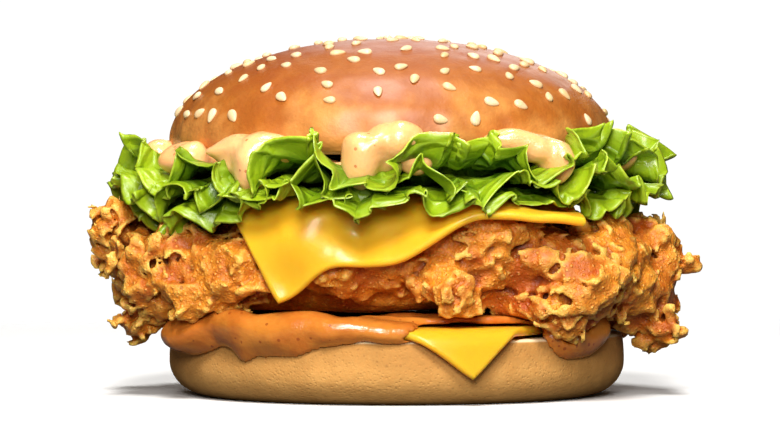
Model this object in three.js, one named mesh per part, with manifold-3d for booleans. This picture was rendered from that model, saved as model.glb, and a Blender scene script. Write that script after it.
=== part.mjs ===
// A chicken burger, standing on the flat underside of its bun base.
// Millimetres, +Z up, the front towards -Y. Angles round the burger are measured from the
// front, positive towards +X.
import * as THREE from "three";
import { mergeVertices } from "three/addons/utils/BufferGeometryUtils.js";
import Module from "manifold-3d";

// Bun: a puck with a rounded foot, and a dome with a rounded lip
const BASE_RADIUS = 57;
const BASE_FOOT = 43;
const BASE_TOP = 15.5;
const DOME_RADIUS = 55;
const DOME_BOTTOM = 59.2;
const DOME_TOP = 88.6;
const DOME_LIP = 4.2;

// Seeds on the dome
const SEED_COUNT = 74;
const SEED_SIZE = { length: 3.5, width: 2.2, depth: 1.4 };
const SEED_LOWEST_ANGLE = 1.2;

// Cheese slices, square and soft
const CHEESE_SIDE = 82;
const CHEESE_THICK = 2.2;
const LOWER_CHEESE = { x: 0.5, y: -12.6, turn: 0.35, level: 17.3 };
const UPPER_CHEESE = { x: 0, y: -24.5, turn: -0.63, level: 48.7 };

// Fried fillet: an oval slab with chunks of crust standing off its rim
const FILLET = { x: 68, y: 54, z: 13.1, level: 34.2 };
const CRUST_RELIEF = 3.6;
const CRUST_SAG = 6.5;

// Lettuce: three tiers of torn leaf that fan out past the bend
const LEAF_THICK = 0.7;
const LEAF_INNER = 8;
const LEAF_BEND = 52;
const LEAF_FRILL = 17;
const TIER_LEVELS = [51, 52.6, 54.2];

// Sauce: a poured disc under each half of the bun, with tongues over the rim
const SAUCE_RADIUS = 51;
const UPPER_SAUCE = { bottom: 57, top: 58.8 };
const LOWER_SAUCE = { bottom: 18.9, top: 20.6 };

// Room kept between two pieces that meet, and how closely a cut piece keeps its form
const CLEARANCE = 0.7;
const SLIVER = 0.3;

// The lower half stands a little to the right of the dome
const LOWER_SHIFT = 1.8;

// Where the middle of the whole burger's outline lies from the dome's axis
const MIDDLE = { x: 2.45, y: -0.17 };

const COLOURS = {
  bunTop: 0xc07a35,
  bunBase: 0xc9985c,
  cheese: 0xf2b42e,
  chicken: 0xc9782c,
  lettuce: 0x6f9c22,
  upperSauce: 0xe8b980,
  lowerSauce: 0xd98a45,
};

const wasm = await Module();
wasm.setup();
const UP = new THREE.Vector3(0, 0, 1);

// A repeatable number from 0 to 1 for a whole number and a stream
function draw(number, stream) {
  const wide = Math.sin(number * 12.9898 + stream * 78.233) * 43758.5453;
  return wide - Math.floor(wide);
}

// Smooth unevenness from about -1 to 1, with bumps about size mm across
function uneven(p, size, stream) {
  const waves = 6;
  let sum = 0;
  for (let k = 0; k < waves; k++) {
    const angle = 2 * Math.PI * draw(k, stream);
    const rise = 2 * draw(k, stream + 1) - 1;
    const flat = Math.sqrt(1 - rise * rise);
    const along = p.x * flat * Math.cos(angle) + p.y * flat * Math.sin(angle) + p.z * rise;
    const turn = (2 * Math.PI) / (size * (1.4 + 0.9 * draw(k, stream + 2)));
    sum += Math.sin(along * turn + 2 * Math.PI * draw(k, stream + 3));
  }
  return (1.5 * sum) / waves;
}

function smooth(value, from, to) {
  return THREE.MathUtils.smoothstep(value, from, to);
}

// The place at an angle round the burger, a distance from its axis and a height
function around(angle, radius, height) {
  return new THREE.Vector3(radius * Math.sin(angle), -radius * Math.cos(angle), height);
}

// The shortest turn from one angle to another
function turnBetween(from, to) {
  return Math.atan2(Math.sin(to - from), Math.cos(to - from));
}

function positionsOnly(geometry) {
  const bare = geometry.index ? geometry.toNonIndexed() : geometry.clone();
  bare.deleteAttribute("normal");
  bare.deleteAttribute("uv");
  return mergeVertices(bare, 1e-3);
}

// Moves each point of a closed geometry by a rule
function shaped(geometry, rule) {
  const bare = positionsOnly(geometry);
  const at = bare.attributes.position;
  const p = new THREE.Vector3();
  for (let i = 0; i < at.count; i++) {
    p.fromBufferAttribute(at, i);
    p.copy(rule(p.clone()));
    at.setXYZ(i, p.x, p.y, p.z);
  }
  return bare;
}

function solidOf(geometry) {
  const bare = positionsOnly(geometry);
  return new wasm.Manifold(
    new wasm.Mesh({
      numProp: 3,
      vertProperties: new Float32Array(bare.attributes.position.array),
      triVerts: new Uint32Array(bare.index.array),
    }),
  );
}

// The largest piece of a cut solid, without the slivers that cuts leave along their edges
function largest(solid, sliver = SLIVER) {
  const pieces = solid.simplify(sliver).decompose();
  return pieces.reduce((best, piece) => (piece.volume() > best.volume() ? piece : best));
}

function geometryOf(solid) {
  const mesh = solid.getMesh();
  const at = new Float32Array(mesh.numVert * 3);
  for (let i = 0; i < mesh.numVert; i++) {
    at.set(mesh.vertProperties.subarray(i * mesh.numProp, i * mesh.numProp + 3), i * 3);
  }
  const geometry = new THREE.BufferGeometry();
  geometry.setAttribute("position", new THREE.BufferAttribute(at, 3));
  geometry.setIndex(new THREE.BufferAttribute(new Uint32Array(mesh.triVerts), 1));
  return geometry;
}

// A profile of [radius, height] turned about the burger's axis
function turned(profile, segments) {
  const points = profile.map(([radius, height]) => new THREE.Vector2(radius, height));
  return new THREE.LatheGeometry(points, segments).rotateX(Math.PI / 2);
}

// A thin solid of even thickness about a surface: place(u, v) for the listed u and v
function sheet(us, vs, place, thickness) {
  const step = 1e-3;
  const columns = us.length;
  const count = columns * vs.length;
  const at = new Float32Array(count * 6);
  vs.forEach((v, row) => {
    us.forEach((u, column) => {
      const middle = place(u, v);
      const alongU = place(u + step, v).sub(place(u - step, v));
      const alongV = place(u, v + step).sub(place(u, v - step));
      const out = alongU.cross(alongV).normalize().multiplyScalar(thickness / 2);
      const i = row * columns + column;
      middle.clone().add(out).toArray(at, 3 * i);
      middle.clone().sub(out).toArray(at, 3 * (count + i));
    });
  });
  const faces = [];
  for (let row = 0; row + 1 < vs.length; row++) {
    for (let column = 0; column + 1 < columns; column++) {
      const a = row * columns + column;
      const [b, c, d] = [a + 1, a + columns + 1, a + columns];
      faces.push(a, b, c, a, c, d);
      faces.push(count + a, count + c, count + b, count + a, count + d, count + c);
    }
  }
  const rim = [];
  for (let column = 0; column + 1 < columns; column++) rim.push(column);
  for (let row = 0; row + 1 < vs.length; row++) rim.push(row * columns + columns - 1);
  for (let column = columns - 1; column > 0; column--) rim.push((vs.length - 1) * columns + column);
  for (let row = vs.length - 1; row > 0; row--) rim.push(row * columns);
  rim.forEach((a, i) => {
    const b = rim[(i + 1) % rim.length];
    faces.push(a, count + a, b, b, count + a, count + b);
  });
  const geometry = new THREE.BufferGeometry();
  geometry.setAttribute("position", new THREE.BufferAttribute(at, 3));
  geometry.setIndex(faces);
  return geometry;
}

function steps(count) {
  return Array.from({ length: count + 1 }, (_, i) => i / count);
}

// Marks whose first and last lie past 0 and 1, so that a grown sheet grows at its margin too
function spread(marks, extra) {
  return [-extra, ...marks.slice(1, -1), 1 + extra];
}

// Bun base: a flat foot, a full round side, and a cut top with a thin crust edge
function bunBase(grow = 0) {
  const profile = [[0, -grow], [BASE_FOOT, -grow]];
  const foot = BASE_RADIUS - BASE_FOOT;
  const rise = 10;
  for (const share of [0.3, 0.6, 0.85, 1]) {
    const angle = (share * Math.PI) / 2;
    const height = rise * (1 - Math.cos(angle)) - grow * Math.cos(angle);
    profile.push([BASE_FOOT + (foot + grow) * Math.sin(angle), height]);
  }
  profile.push([BASE_RADIUS - 0.3 + grow, BASE_TOP - 1.6]);
  profile.push([BASE_RADIUS - 1.6 + grow / 2, BASE_TOP + grow]);
  profile.push([0, BASE_TOP + grow]);
  return shaped(turned(profile, 36), (p) => {
    const bulge = 1 + 0.012 * uneven(p, 45, 11) * smooth(p.z, 0.5, 6);
    return new THREE.Vector3(p.x * bulge, p.y * bulge, p.z);
  });
}

// Height and radius on the dome at an angle from its top
function domeProfile(angle) {
  const shoulder = DOME_BOTTOM + DOME_LIP;
  const up = (DOME_TOP - shoulder) * Math.cos(angle);
  return [DOME_RADIUS * Math.sin(angle), shoulder + up];
}

function domeBulge(p) {
  const pleats = Math.cos(22 * Math.atan2(p.x, -p.y)) * smooth(76 - p.z, 0, 14);
  return 1 + 0.012 * uneven(p, 50, 21) + 0.004 * pleats;
}

function bunDome(grow = 0, segments = 32) {
  const profile = [[0, DOME_BOTTOM - grow]];
  for (const share of [0, 0.5, 1]) {
    const angle = (share * Math.PI) / 2;
    const lip = DOME_LIP + grow;
    profile.push([
      DOME_RADIUS - DOME_LIP + lip * Math.sin(angle),
      DOME_BOTTOM + DOME_LIP - lip * Math.cos(angle),
    ]);
  }
  for (const share of [0.84, 0.68, 0.52, 0.36, 0.2, 0.08]) {
    const [radius, height] = domeProfile((share * Math.PI) / 2);
    profile.push([radius + grow, height + grow]);
  }
  profile.push([0, DOME_TOP + grow]);
  return shaped(turned(profile, segments), (p) => {
    const bulge = p.z > DOME_BOTTOM + 1 ? domeBulge(p) : 1;
    return new THREE.Vector3(p.x * bulge, p.y * bulge, p.z);
  });
}

// A pointed oval seed, lying along x
function seed() {
  const { length, width, depth } = SEED_SIZE;
  return shaped(new THREE.SphereGeometry(0.5, 5, 3).rotateZ(Math.PI / 2), (p) => {
    const narrow = 1 - 0.7 * p.x;
    return new THREE.Vector3(p.x * length, p.y * width * narrow, p.z * depth * narrow);
  });
}

// The seeds lie on a widening spiral, closest together at the top of the dome
function seedPlaces() {
  const golden = Math.PI * (3 - Math.sqrt(5));
  const places = [];
  for (let i = 0; i < SEED_COUNT; i++) {
    const share = (i + 0.35 + 0.3 * draw(i, 1)) / SEED_COUNT;
    const angle = SEED_LOWEST_ANGLE * Math.pow(share, 0.62);
    const round = golden * i + 0.5 * (draw(i, 2) - 0.5);
    const [radius, height] = domeProfile(angle);
    const here = around(round, radius, height);
    const bulge = domeBulge(here);
    here.x *= bulge;
    here.y *= bulge;
    const [nearRadius, nearHeight] = domeProfile(angle + 0.01);
    const slope = Math.atan2(height - nearHeight, nearRadius - radius);
    const out = around(round, Math.sin(slope), Math.cos(slope));
    places.push({ here, out, spin: 2 * Math.PI * draw(i, 3), size: 0.88 + 0.24 * draw(i, 4) });
  }
  return places;
}

function bunTop() {
  const shape = seed();
  let solid = solidOf(bunDome());
  for (const { here, out, spin, size } of seedPlaces()) {
    const placed = shape.clone().rotateZ(spin).scale(size, size, size);
    placed.applyQuaternion(new THREE.Quaternion().setFromUnitVectors(UP, out));
    placed.translate(here.x + 0.15 * out.x, here.y + 0.15 * out.y, here.z + 0.15 * out.z);
    solid = solid.add(solidOf(placed));
  }
  return geometryOf(largest(solid, 0.1));
}

// A flat place on a slice, carried down where it passes the edge of what it lies on
function draped(slice, support, u, v) {
  const half = CHEESE_SIDE / 2;
  const [p, q] = [(2 * u - 1) * half, (2 * v - 1) * half];
  const x = slice.x + p * Math.cos(slice.turn + Math.PI / 4) - q * Math.sin(slice.turn + Math.PI / 4);
  const y = slice.y + p * Math.sin(slice.turn + Math.PI / 4) + q * Math.cos(slice.turn + Math.PI / 4);
  const reach = Math.hypot(x, y);
  const round = Math.atan2(x, -y);
  const edge = support.edge(round);
  const level = slice.level + support.wave(x, y);
  if (reach <= edge) return new THREE.Vector3(x, y, level);
  const past = reach - edge;
  const steep = support.steep(round);
  const bend = support.bend;
  const arc = Math.min(past, bend * steep);
  const angle = arc / bend;
  const rest = past - arc;
  const out = edge + bend * Math.sin(angle) + rest * Math.cos(angle);
  const down = bend * (1 - Math.cos(angle)) + rest * Math.sin(angle);
  return around(round, out, level - down);
}

const BASE_SUPPORT = {
  bend: 4,
  edge: () => BASE_RADIUS - 1.2,
  steep: () => 1.38,
  wave: () => 0,
};

// The fillet is wider than it is deep, and its front left slopes away most
const FILLET_SUPPORT = {
  bend: 9,
  edge: (round) => 1 / Math.hypot(Math.sin(round) / 57, Math.cos(round) / 47),
  steep: (round) => 0.1 + 1.28 * Math.exp(-Math.pow(turnBetween(-0.3, round) / 0.62, 2)),
  wave: () => 0,
};

function cheese(slice, support, divisions, grow = 0) {
  const marks = spread(steps(divisions), grow / CHEESE_SIDE);
  const place = (u, v) => draped(slice, support, u, v);
  return geometryOf(largest(solidOf(sheet(marks, marks, place, CHEESE_THICK + 2 * grow)), 0.08));
}

// How the leaf margin turns at an angle round the burger: up between the tongues of sauce
// and down under them. Each tier turns less than the one above it, so they never cross.
const TONGUES = [
  { round: -1.48, half: 5, top: 61, low: 54 },
  { round: -0.98, half: 7, top: 62, low: 54 },
  { round: -0.56, half: 11.5, top: 64.5, low: 55, drip: { round: -0.6, half: 4, low: 49.5 } },
  { round: -0.03, half: 9, top: 66, low: 51.5 },
  { round: 0.6, half: 10.5, top: 64.5, low: 54, drip: { round: 0.68, half: 4.5, low: 50 } },
  { round: 1.32, half: 6, top: 62.5, low: 54.5 },
  { round: 2.05, half: 9, top: 64, low: 54, drip: { round: 2.1, half: 4, low: 50.5 } },
  { round: 2.8, half: 10, top: 64.5, low: 53.5 },
  { round: -2.65, half: 9.5, top: 64, low: 53.5, drip: { round: -2.62, half: 4.5, low: 50 } },
  { round: -2.05, half: 8, top: 63, low: 54 },
];

// What turns the margin of each tier, lowest tier first, in radians
const FRILLS = [
  { rest: -0.22, lift: 0.15, press: 0.3, front: -0.5, sides: -0.4, ruffle: 0.4 },
  { rest: 0.08, lift: 0.4, press: 0.36, front: -0.38, sides: -0.2, ruffle: 0.6 },
  { rest: 0.5, lift: 0.85, press: 0.55, front: -0.15, sides: 0, ruffle: 0.75 },
];

function frillTurn(tier, round) {
  const near = (at, wide) => Math.exp(-Math.pow(turnBetween(at, round) / wide, 2));
  const ruffle = 0.34 * Math.sin(14 * round + 0.6) + 0.24 * Math.sin(9 * round + 2.1);
  const front = near(-0.2, 0.62);
  const sides = near(1.3, 0.28) + 0.7 * near(-1.1, 0.4) + 0.6 * near(Math.PI, 0.6);
  const pressed = TONGUES.reduce((sum, tongue) => {
    return sum + near(tongue.round, (tongue.half + 2) / 58);
  }, 0);
  const lift = 1.1 - 2.3 * Math.min(pressed, 1);
  const frill = FRILLS[tier];
  return (
    frill.rest +
    frill.lift * Math.max(lift, 0) +
    frill.press * Math.min(lift, 0) +
    frill.front * front +
    frill.sides * sides +
    frill.ruffle * ruffle
  );
}

// Leaves: tier, the angle of the middle, the span, and how far the frill reaches
const LEAVES = [
  { name: "lettuce_lower_front", tier: 0, middle: -0.2, span: 2.7, reach: 0.92 },
  { name: "lettuce_lower_back", tier: 0, middle: 2.95, span: 2.6, reach: 0.85 },
  { name: "lettuce_middle_left", tier: 1, middle: -1.45, span: 2.7, reach: 1.05 },
  { name: "lettuce_middle_right", tier: 1, middle: 1.5, span: 2.6, reach: 1.05 },
  { name: "lettuce_upper_left", tier: 2, middle: -0.735, span: 1.98, reach: 1 },
  { name: "lettuce_upper_right", tier: 2, middle: 1.35, span: 2.06, reach: 1 },
  { name: "lettuce_upper_back", tier: 2, middle: -2.81, span: 2.04, reach: 1 },
];

function leafPlace(leaf, u, v) {
  const side = 2 * u - 1;
  const round = leaf.middle + (side * leaf.span) / 2;
  const taper = Math.sqrt(1 - 0.75 * Math.pow(Math.min(Math.abs(side), 1), 6));
  const frill = LEAF_FRILL * leaf.reach * taper;
  const along = LEAF_INNER + v * (LEAF_BEND - LEAF_INNER + frill);
  const level = TIER_LEVELS[leaf.tier] + leaf.tier * 0.9 * smooth(along, 40, LEAF_BEND);
  if (along <= LEAF_BEND) return around(round, along, level);
  const past = along - LEAF_BEND;
  const share = past / frill;
  const end = frillTurn(leaf.tier, round);
  const full = Math.abs(end) < 1e-3 ? 1e-3 : end;
  const curl = (frill / full) * (1 - Math.cos(full * share));
  const out = (frill / full) * Math.sin(full * share);
  return around(round, LEAF_BEND + out, level + curl);
}

function leafSheet(leaf, grow = 0) {
  const columns = Math.round(leaf.span / 0.1);
  const rows = [0, 0.7, 0.8, 0.9, 1];
  const place = (u, v) => leafPlace(leaf, u, v);
  const across = spread(steps(columns), (2 * grow) / (leaf.span * LEAF_BEND));
  return sheet(across, spread(rows, (2 * grow) / LEAF_BEND), place, LEAF_THICK + 2 * grow);
}

// Fried fillet: lumps that swell out of the slab, and flakes of crust fused on
const LUMPS = [
  { x: -66, y: -12, z: 42, rise: 4.5, wide: 8 },
  { x: -50, y: -31, z: 41, rise: 5, wide: 9 },
  { x: -60, y: -26, z: 30, rise: 3.5, wide: 7 },
  { x: -46, y: -37, z: 27, rise: 5, wide: 8 },
  { x: -60, y: -22, z: 23, rise: 7, wide: 9 },
  { x: -22, y: -50, z: 30, rise: 2, wide: 8 },
  { x: 0, y: -52, z: 38, rise: 2.5, wide: 7 },
  { x: 27, y: -47, z: 38, rise: 5, wide: 8 },
  { x: 41, y: -42, z: 34, rise: 6.5, wide: 9 },
  { x: 50, y: -28, z: 44, rise: 4.5, wide: 8 },
  { x: 63, y: -14, z: 39, rise: 4, wide: 8 },
  { x: 66, y: -10, z: 27, rise: 5.5, wide: 8 },
  { x: 44, y: -40, z: 24, rise: 8, wide: 10 },
  { x: 62, y: -18, z: 22, rise: 7, wide: 9 },
  { x: 64, y: 16, z: 30, rise: 5, wide: 10 },
  { x: 50, y: 34, z: 24, rise: 5, wide: 9 },
  { x: 42, y: 37, z: 38, rise: 5, wide: 9 },
  { x: 18, y: 49, z: 29, rise: 5, wide: 9 },
  { x: -12, y: 50, z: 36, rise: 5, wide: 9 },
  { x: -38, y: 41, z: 27, rise: 6, wide: 9 },
  { x: -62, y: 18, z: 35, rise: 5, wide: 9 },
  { x: -58, y: 26, z: 22, rise: 5, wide: 9 },
];
const FLAKES = [
  { x: -67, y: -12, z: 43, size: [6, 8, 4.6] },
  { x: -69, y: -8, z: 34, size: [5, 6, 2.6] },
  { x: -62, y: -18, z: 18, size: [6, 7, 4] },
  { x: 13, y: -52, z: 28.5, size: [7, 5, 5] },
  { x: 66, y: -16, z: 19, size: [6, 7, 4] },
  { x: 72, y: -6, z: 33.5, size: [5.5, 6, 3] },
  { x: 30, y: 50, z: 38, size: [6, 5, 4] },
  { x: -49, y: 38, z: 38, size: [6, 6, 4] },
];

function slabPoint(p) {
  const { x, y, z } = FILLET;
  const [planPower, sidePower] = [2.5, 2.9];
  const plan = Math.pow(Math.abs(p.x), planPower) + Math.pow(Math.abs(p.y), planPower);
  const f = Math.pow(plan, sidePower / planPower) + Math.pow(Math.abs(p.z), sidePower);
  const k = 1 / Math.pow(f, 1 / sidePower);
  return new THREE.Vector3(p.x * k * x, p.y * k * y, p.z * k * z);
}

function slab(grow = 0) {
  const lumps = LUMPS.map(({ x, y, z, rise, wide }) => {
    const towards = new THREE.Vector3(x / FILLET.x, y / FILLET.y, (z - FILLET.level) / FILLET.z);
    return { anchor: slabPoint(towards), rise, wide };
  });
  return shaped(new THREE.IcosahedronGeometry(1, 9), (p) => {
    const at = slabPoint(p);
    const out = new THREE.Vector3(p.x / FILLET.x, p.y / FILLET.y, p.z / FILLET.z).normalize();
    const rim = smooth(Math.hypot(at.x / FILLET.x, at.y / FILLET.y), 0.6, 0.95);
    const relief = CRUST_RELIEF * (0.3 + 0.45 * rim) * uneven(at, 15, 41);
    const crags = 0.4 * CRUST_RELIEF * rim * uneven(at, 8, 51);
    const swell = lumps.reduce((sum, { anchor, rise, wide }) => {
      return sum + rise * Math.exp(-at.distanceToSquared(anchor) / (wide * wide));
    }, 0);
    const overhang = smooth(Math.hypot(at.x, at.y), 53, 64) * smooth(-at.z, -3, 7);
    at.addScaledVector(out, relief + crags + swell - 2 * rim + grow);
    return at.add(new THREE.Vector3(0, 0, FILLET.level - CRUST_SAG * overhang));
  });
}

function flake({ x, y, z, size }, number, grow = 0) {
  return shaped(new THREE.IcosahedronGeometry(1, 1), (p) => {
    const rough = 1 + 0.22 * (2 * draw(Math.round(p.x * 9 + p.y * 31 + p.z * 57), number) - 1);
    return new THREE.Vector3(
      x + p.x * (size[0] * rough + grow),
      y + p.y * (size[1] * rough + grow),
      z + p.z * (size[2] * rough + grow),
    );
  });
}

function fillet(grow = 0) {
  const flakes = FLAKES.map((place, number) => solidOf(flake(place, number, grow)));
  return flakes.reduce((whole, piece) => whole.add(piece), solidOf(slab(grow)));
}

// A squashed ball of sauce
function blob(at, across, along, high, round) {
  return new THREE.SphereGeometry(1, 7, 3)
    .scale(across, along, high)
    .rotateZ(round)
    .translate(at.x, at.y, at.z);
}

function sauceDisc({ bottom, top }) {
  const middle = (bottom + top) / 2;
  const profile = [[0, bottom], [SAUCE_RADIUS - 2, bottom], [SAUCE_RADIUS, middle]];
  profile.push([SAUCE_RADIUS - 2, top], [0, top]);
  return turned(profile, 24);
}

// Tongues of the upper sauce swell out under the lip of the dome, and some drip
function upperSauce() {
  let solid = solidOf(sauceDisc(UPPER_SAUCE));
  const drop = (round, radius, half, thick, top, low) => {
    const at = around(round, radius, (top + low) / 2);
    solid = solid.add(solidOf(blob(at, half, thick, (top - low) / 2, round)));
  };
  for (const { round, half, top, low, drip } of TONGUES) {
    drop(round, 55.5, half, 7.5, top, low);
    if (drip) drop(drip.round, 60.5, drip.half, 4, 61, drip.low);
  }
  return solid;
}

// Drips of the lower sauce down the side of the bun base: angle, half width, lowest point
const DRIPS = [
  { round: -1.1, wide: 8, low: 14.5 },
  { round: -0.85, wide: 10, low: 13.5 },
  { round: -0.5, wide: 15, low: 11 },
  { round: -0.12, wide: 12, low: 14.5 },
  { round: 1.08, wide: 9, low: 10.5 },
  { round: 1.9, wide: 12, low: 13 },
  { round: 2.6, wide: 14, low: 11.5 },
  { round: -2.7, wide: 13, low: 13.5 },
  { round: -1.95, wide: 12, low: 12.5 },
];

function lowerSauce() {
  let solid = solidOf(sauceDisc(LOWER_SAUCE));
  for (const { round, wide, low } of DRIPS) {
    const half = (LOWER_SAUCE.top + 1.8 - low) / 2;
    const at = around(round, BASE_RADIUS - 2.5, low + half);
    solid = solid.add(solidOf(blob(at, wide, 6.2, half, round)));
  }
  return solid;
}

function cutBy(solid, cutters) {
  return largest(cutters.reduce((rest, cutter) => rest.subtract(solidOf(cutter)), solid));
}

function buildBurger() {
  const lowerCheese = (grow) => cheese(LOWER_CHEESE, BASE_SUPPORT, 18, grow);
  const shifted = (geometry) => geometry.translate(LOWER_SHIFT, 0, 0);
  const upperCheese = (grow) => cheese(UPPER_CHEESE, FILLET_SUPPORT, 16, grow);
  const cheeses = [shifted(lowerCheese(CLEARANCE)), upperCheese(CLEARANCE)];
  const leaves = LEAVES.map((leaf) => leafSheet(leaf, CLEARANCE));
  const fried = cutBy(fillet(), [...cheeses, ...leaves, shifted(bunBase(CLEARANCE))]);
  const friedRoom = geometryOf(fillet(CLEARANCE)).translate(-LOWER_SHIFT, 0, 0);
  const underSauce = cutBy(lowerSauce(), [lowerCheese(CLEARANCE), bunBase(CLEARANCE), friedRoom]);
  const overSauce = cutBy(upperSauce(), [bunDome(CLEARANCE + 0.3, 24), ...leaves]);

  const burger = new THREE.Group();
  const add = (name, geometry, colour, roughness) => {
    const material = new THREE.MeshStandardMaterial({ color: colour, roughness, metalness: 0 });
    const mesh = new THREE.Mesh(geometry, material);
    mesh.name = name;
    burger.add(mesh);
  };
  add("bun_base", shifted(bunBase()), COLOURS.bunBase, 0.85);
  add("cheese_lower", shifted(lowerCheese(0)), COLOURS.cheese, 0.35);
  add("sauce_lower", shifted(geometryOf(underSauce)), COLOURS.lowerSauce, 0.3);
  add("chicken", geometryOf(fried), COLOURS.chicken, 0.6);
  add("cheese_upper", upperCheese(0), COLOURS.cheese, 0.35);
  for (const leaf of LEAVES) add(leaf.name, leafSheet(leaf), COLOURS.lettuce, 0.45);
  add("sauce_upper", geometryOf(overSauce), COLOURS.upperSauce, 0.3);
  add("bun_top", bunTop(), COLOURS.bunTop, 0.4);
  burger.position.set(-MIDDLE.x, -MIDDLE.y, 0);
  return burger;
}

export default buildBurger();
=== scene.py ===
# A fried chicken burger: seeded bun, pale sauce, frilled lettuce, draped cheese, craggy fillet.
# Forms are worked out in millimetres about the dome's axis, with the front towards -Y and
# +Z up, and become metres in the row frame when a piece is made. Angles round the burger
# are measured from the front, positive towards +X.
import math

import bpy
import numpy as np
import openvdb
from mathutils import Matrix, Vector
from mathutils.bvhtree import BVHTree


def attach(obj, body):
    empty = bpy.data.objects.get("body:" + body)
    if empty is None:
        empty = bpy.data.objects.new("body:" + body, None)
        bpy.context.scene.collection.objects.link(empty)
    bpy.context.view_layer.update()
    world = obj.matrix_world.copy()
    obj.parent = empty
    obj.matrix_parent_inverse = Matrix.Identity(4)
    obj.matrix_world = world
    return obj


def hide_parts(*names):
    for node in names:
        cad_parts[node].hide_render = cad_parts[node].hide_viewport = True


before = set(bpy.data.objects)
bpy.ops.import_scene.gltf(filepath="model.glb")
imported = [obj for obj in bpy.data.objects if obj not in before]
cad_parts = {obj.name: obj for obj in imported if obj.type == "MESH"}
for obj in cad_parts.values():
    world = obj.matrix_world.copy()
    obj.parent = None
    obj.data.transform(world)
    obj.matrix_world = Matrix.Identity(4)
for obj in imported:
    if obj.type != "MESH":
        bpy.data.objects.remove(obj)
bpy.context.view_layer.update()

MM = 0.001

# The measures that the solids have too, apart from the squarer foot of the bun base
MIDDLE = np.array([2.45, -0.17, 0.0])
LOWER_SHIFT = np.array([1.8, 0.0, 0.0])
BASE = {"radius": 57, "foot": 46.5, "top": 15.5}
DOME = {"radius": 55, "bottom": 59.2, "top": 88.6, "lip": 4.2}
SPIRAL_SEEDS = 74
SEED_SIZE = {"length": 3.5, "width": 2.2, "depth": 1.4}
CHEESE = {"side": 82, "thick": 2.2, "round_off": 0.02}
LOWER_CHEESE = {"x": 0.5, "y": -12.6, "turn": 0.35, "level": 17.3}
UPPER_CHEESE = {"x": 0, "y": -24.5, "turn": -0.63, "level": 48.7}
LEAF = {"thick": 0.7, "inner": 8, "bend": 52, "frill": 17}
SAUCE_RADIUS = 51
UPPER_SAUCE = {"bottom": 57, "top": 58.8}
LOWER_SAUCE = {"bottom": 18.9, "top": 20.6}

# Measures of the dressed forms alone: seeds, the tongues' rim, the fillet's ovals and crumbs
ALL_SEEDS = 142
SEEDS_APART = 5.5
TONGUE_RIM = 58
FILLET = {"half_long": 68, "half_deep": 54}
FILLET_TOP = {"half_long": 57, "half_deep": 47}
CRUMBS = {"tried": 3000, "kept_share": 0.92, "blend": 0.4, "pit_blend": 0.5}

# How fine the forms are: points round the bun, steps of the lattices, and most triangles
BUN_TURNS = 340
SAUCE_PITCH = 0.62
CRUST_PITCH = 0.64
TRIANGLES = {"upper_sauce": 70000, "lower_sauce": 60000, "fillet": 194000}
NOISE_CELLS = 32


# Numbers and smooth unevenness

def draw(number, stream):
    """A repeatable number from 0 to 1 for a whole number and a stream."""
    wide = np.sin(number * 12.9898 + stream * 78.233) * 43758.5453
    return wide - np.floor(wide)


def smooth(value, start, end):
    """0 up to start and 1 from end, with a smooth step between."""
    share = np.clip((value - start) / (end - start), 0, 1)
    return share * share * (3 - 2 * share)


def uneven(points, size, stream):
    """Slow unevenness from about -1 to 1, the same that the solids have."""
    waves = 6
    total = 0
    for k in range(waves):
        angle = 2 * math.pi * draw(k, stream)
        rise = 2 * draw(k, stream + 1) - 1
        flat = math.sqrt(1 - rise * rise)
        along = points @ np.array([flat * math.cos(angle), flat * math.sin(angle), rise])
        turn = 2 * math.pi / (size * (1.4 + 0.9 * draw(k, stream + 2)))
        total = total + np.sin(along * turn + 2 * math.pi * draw(k, stream + 3))
    return 1.5 * total / waves


def rough(points, size, stream):
    """Irregular unevenness from about -1 to 1, with bumps about size across."""
    random = np.random.default_rng(stream)
    slopes = random.normal(size=(NOISE_CELLS,) * 3 + (3,))
    slopes /= np.linalg.norm(slopes, axis=3, keepdims=True)
    at = points / size
    whole = np.floor(at).astype(int)
    part = at - whole
    ease = part * part * part * (part * (6 * part - 15) + 10)
    total = 0
    for corner in np.ndindex(2, 2, 2):
        cell = (whole + corner) % NOISE_CELLS
        slope = slopes[cell[..., 0], cell[..., 1], cell[..., 2]]
        weight = np.prod(np.where(corner, ease, 1 - ease), axis=-1)
        total = total + weight * np.sum(slope * (part - corner), axis=-1)
    return 1.7 * total


def plates(points, size, stream):
    """Scattered plates about size across, each at its own height and slope, from -1 to 1."""
    random = np.random.default_rng(stream)
    drawn = random.random((NOISE_CELLS,) * 3 + (7,), dtype=np.float32)
    at = (points / size).astype(np.float32)
    home = np.floor(at - 0.5).astype(int)
    nearest = np.full(len(points), np.inf, np.float32)
    height = np.zeros(len(points), np.float32)
    for step in np.ndindex(2, 2, 2):
        corner = home + step
        cell = corner % NOISE_CELLS
        here = drawn[cell[:, 0], cell[:, 1], cell[:, 2]]
        apart = at - corner - 0.15 - 0.7 * here[:, :3]
        away = np.sum(apart * apart, axis=1)
        slope = 1.6 * np.sum((here[:, 4:] - 0.5) * apart, axis=1)
        closer = away < nearest
        nearest[closer] = away[closer]
        height[closer] = (1.4 * (here[:, 3] - 0.5) + slope)[closer]
    return height


def around(angle, radius, height):
    """The place at an angle round the burger, a distance from its axis and a height."""
    angle, radius, height = np.broadcast_arrays(angle, radius, height)
    return np.stack([radius * np.sin(angle), -radius * np.cos(angle), height], axis=-1)


def angle_of(points):
    """The angle round the burger at which points stand."""
    return np.arctan2(points[..., 0], -points[..., 1])


def unit(vectors):
    """The same directions, each 1 long."""
    return vectors / np.maximum(np.linalg.norm(vectors, axis=-1, keepdims=True), 1e-9)


def turn_between(start, end):
    """The shortest turn from one angle to another."""
    return np.arctan2(np.sin(end - start), np.cos(end - start))


def near(at, round_, wide):
    """1 at an angle round the burger, fading to nothing past a width on both sides."""
    return np.exp(-(turn_between(at, round_) / wide) ** 2)


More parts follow.
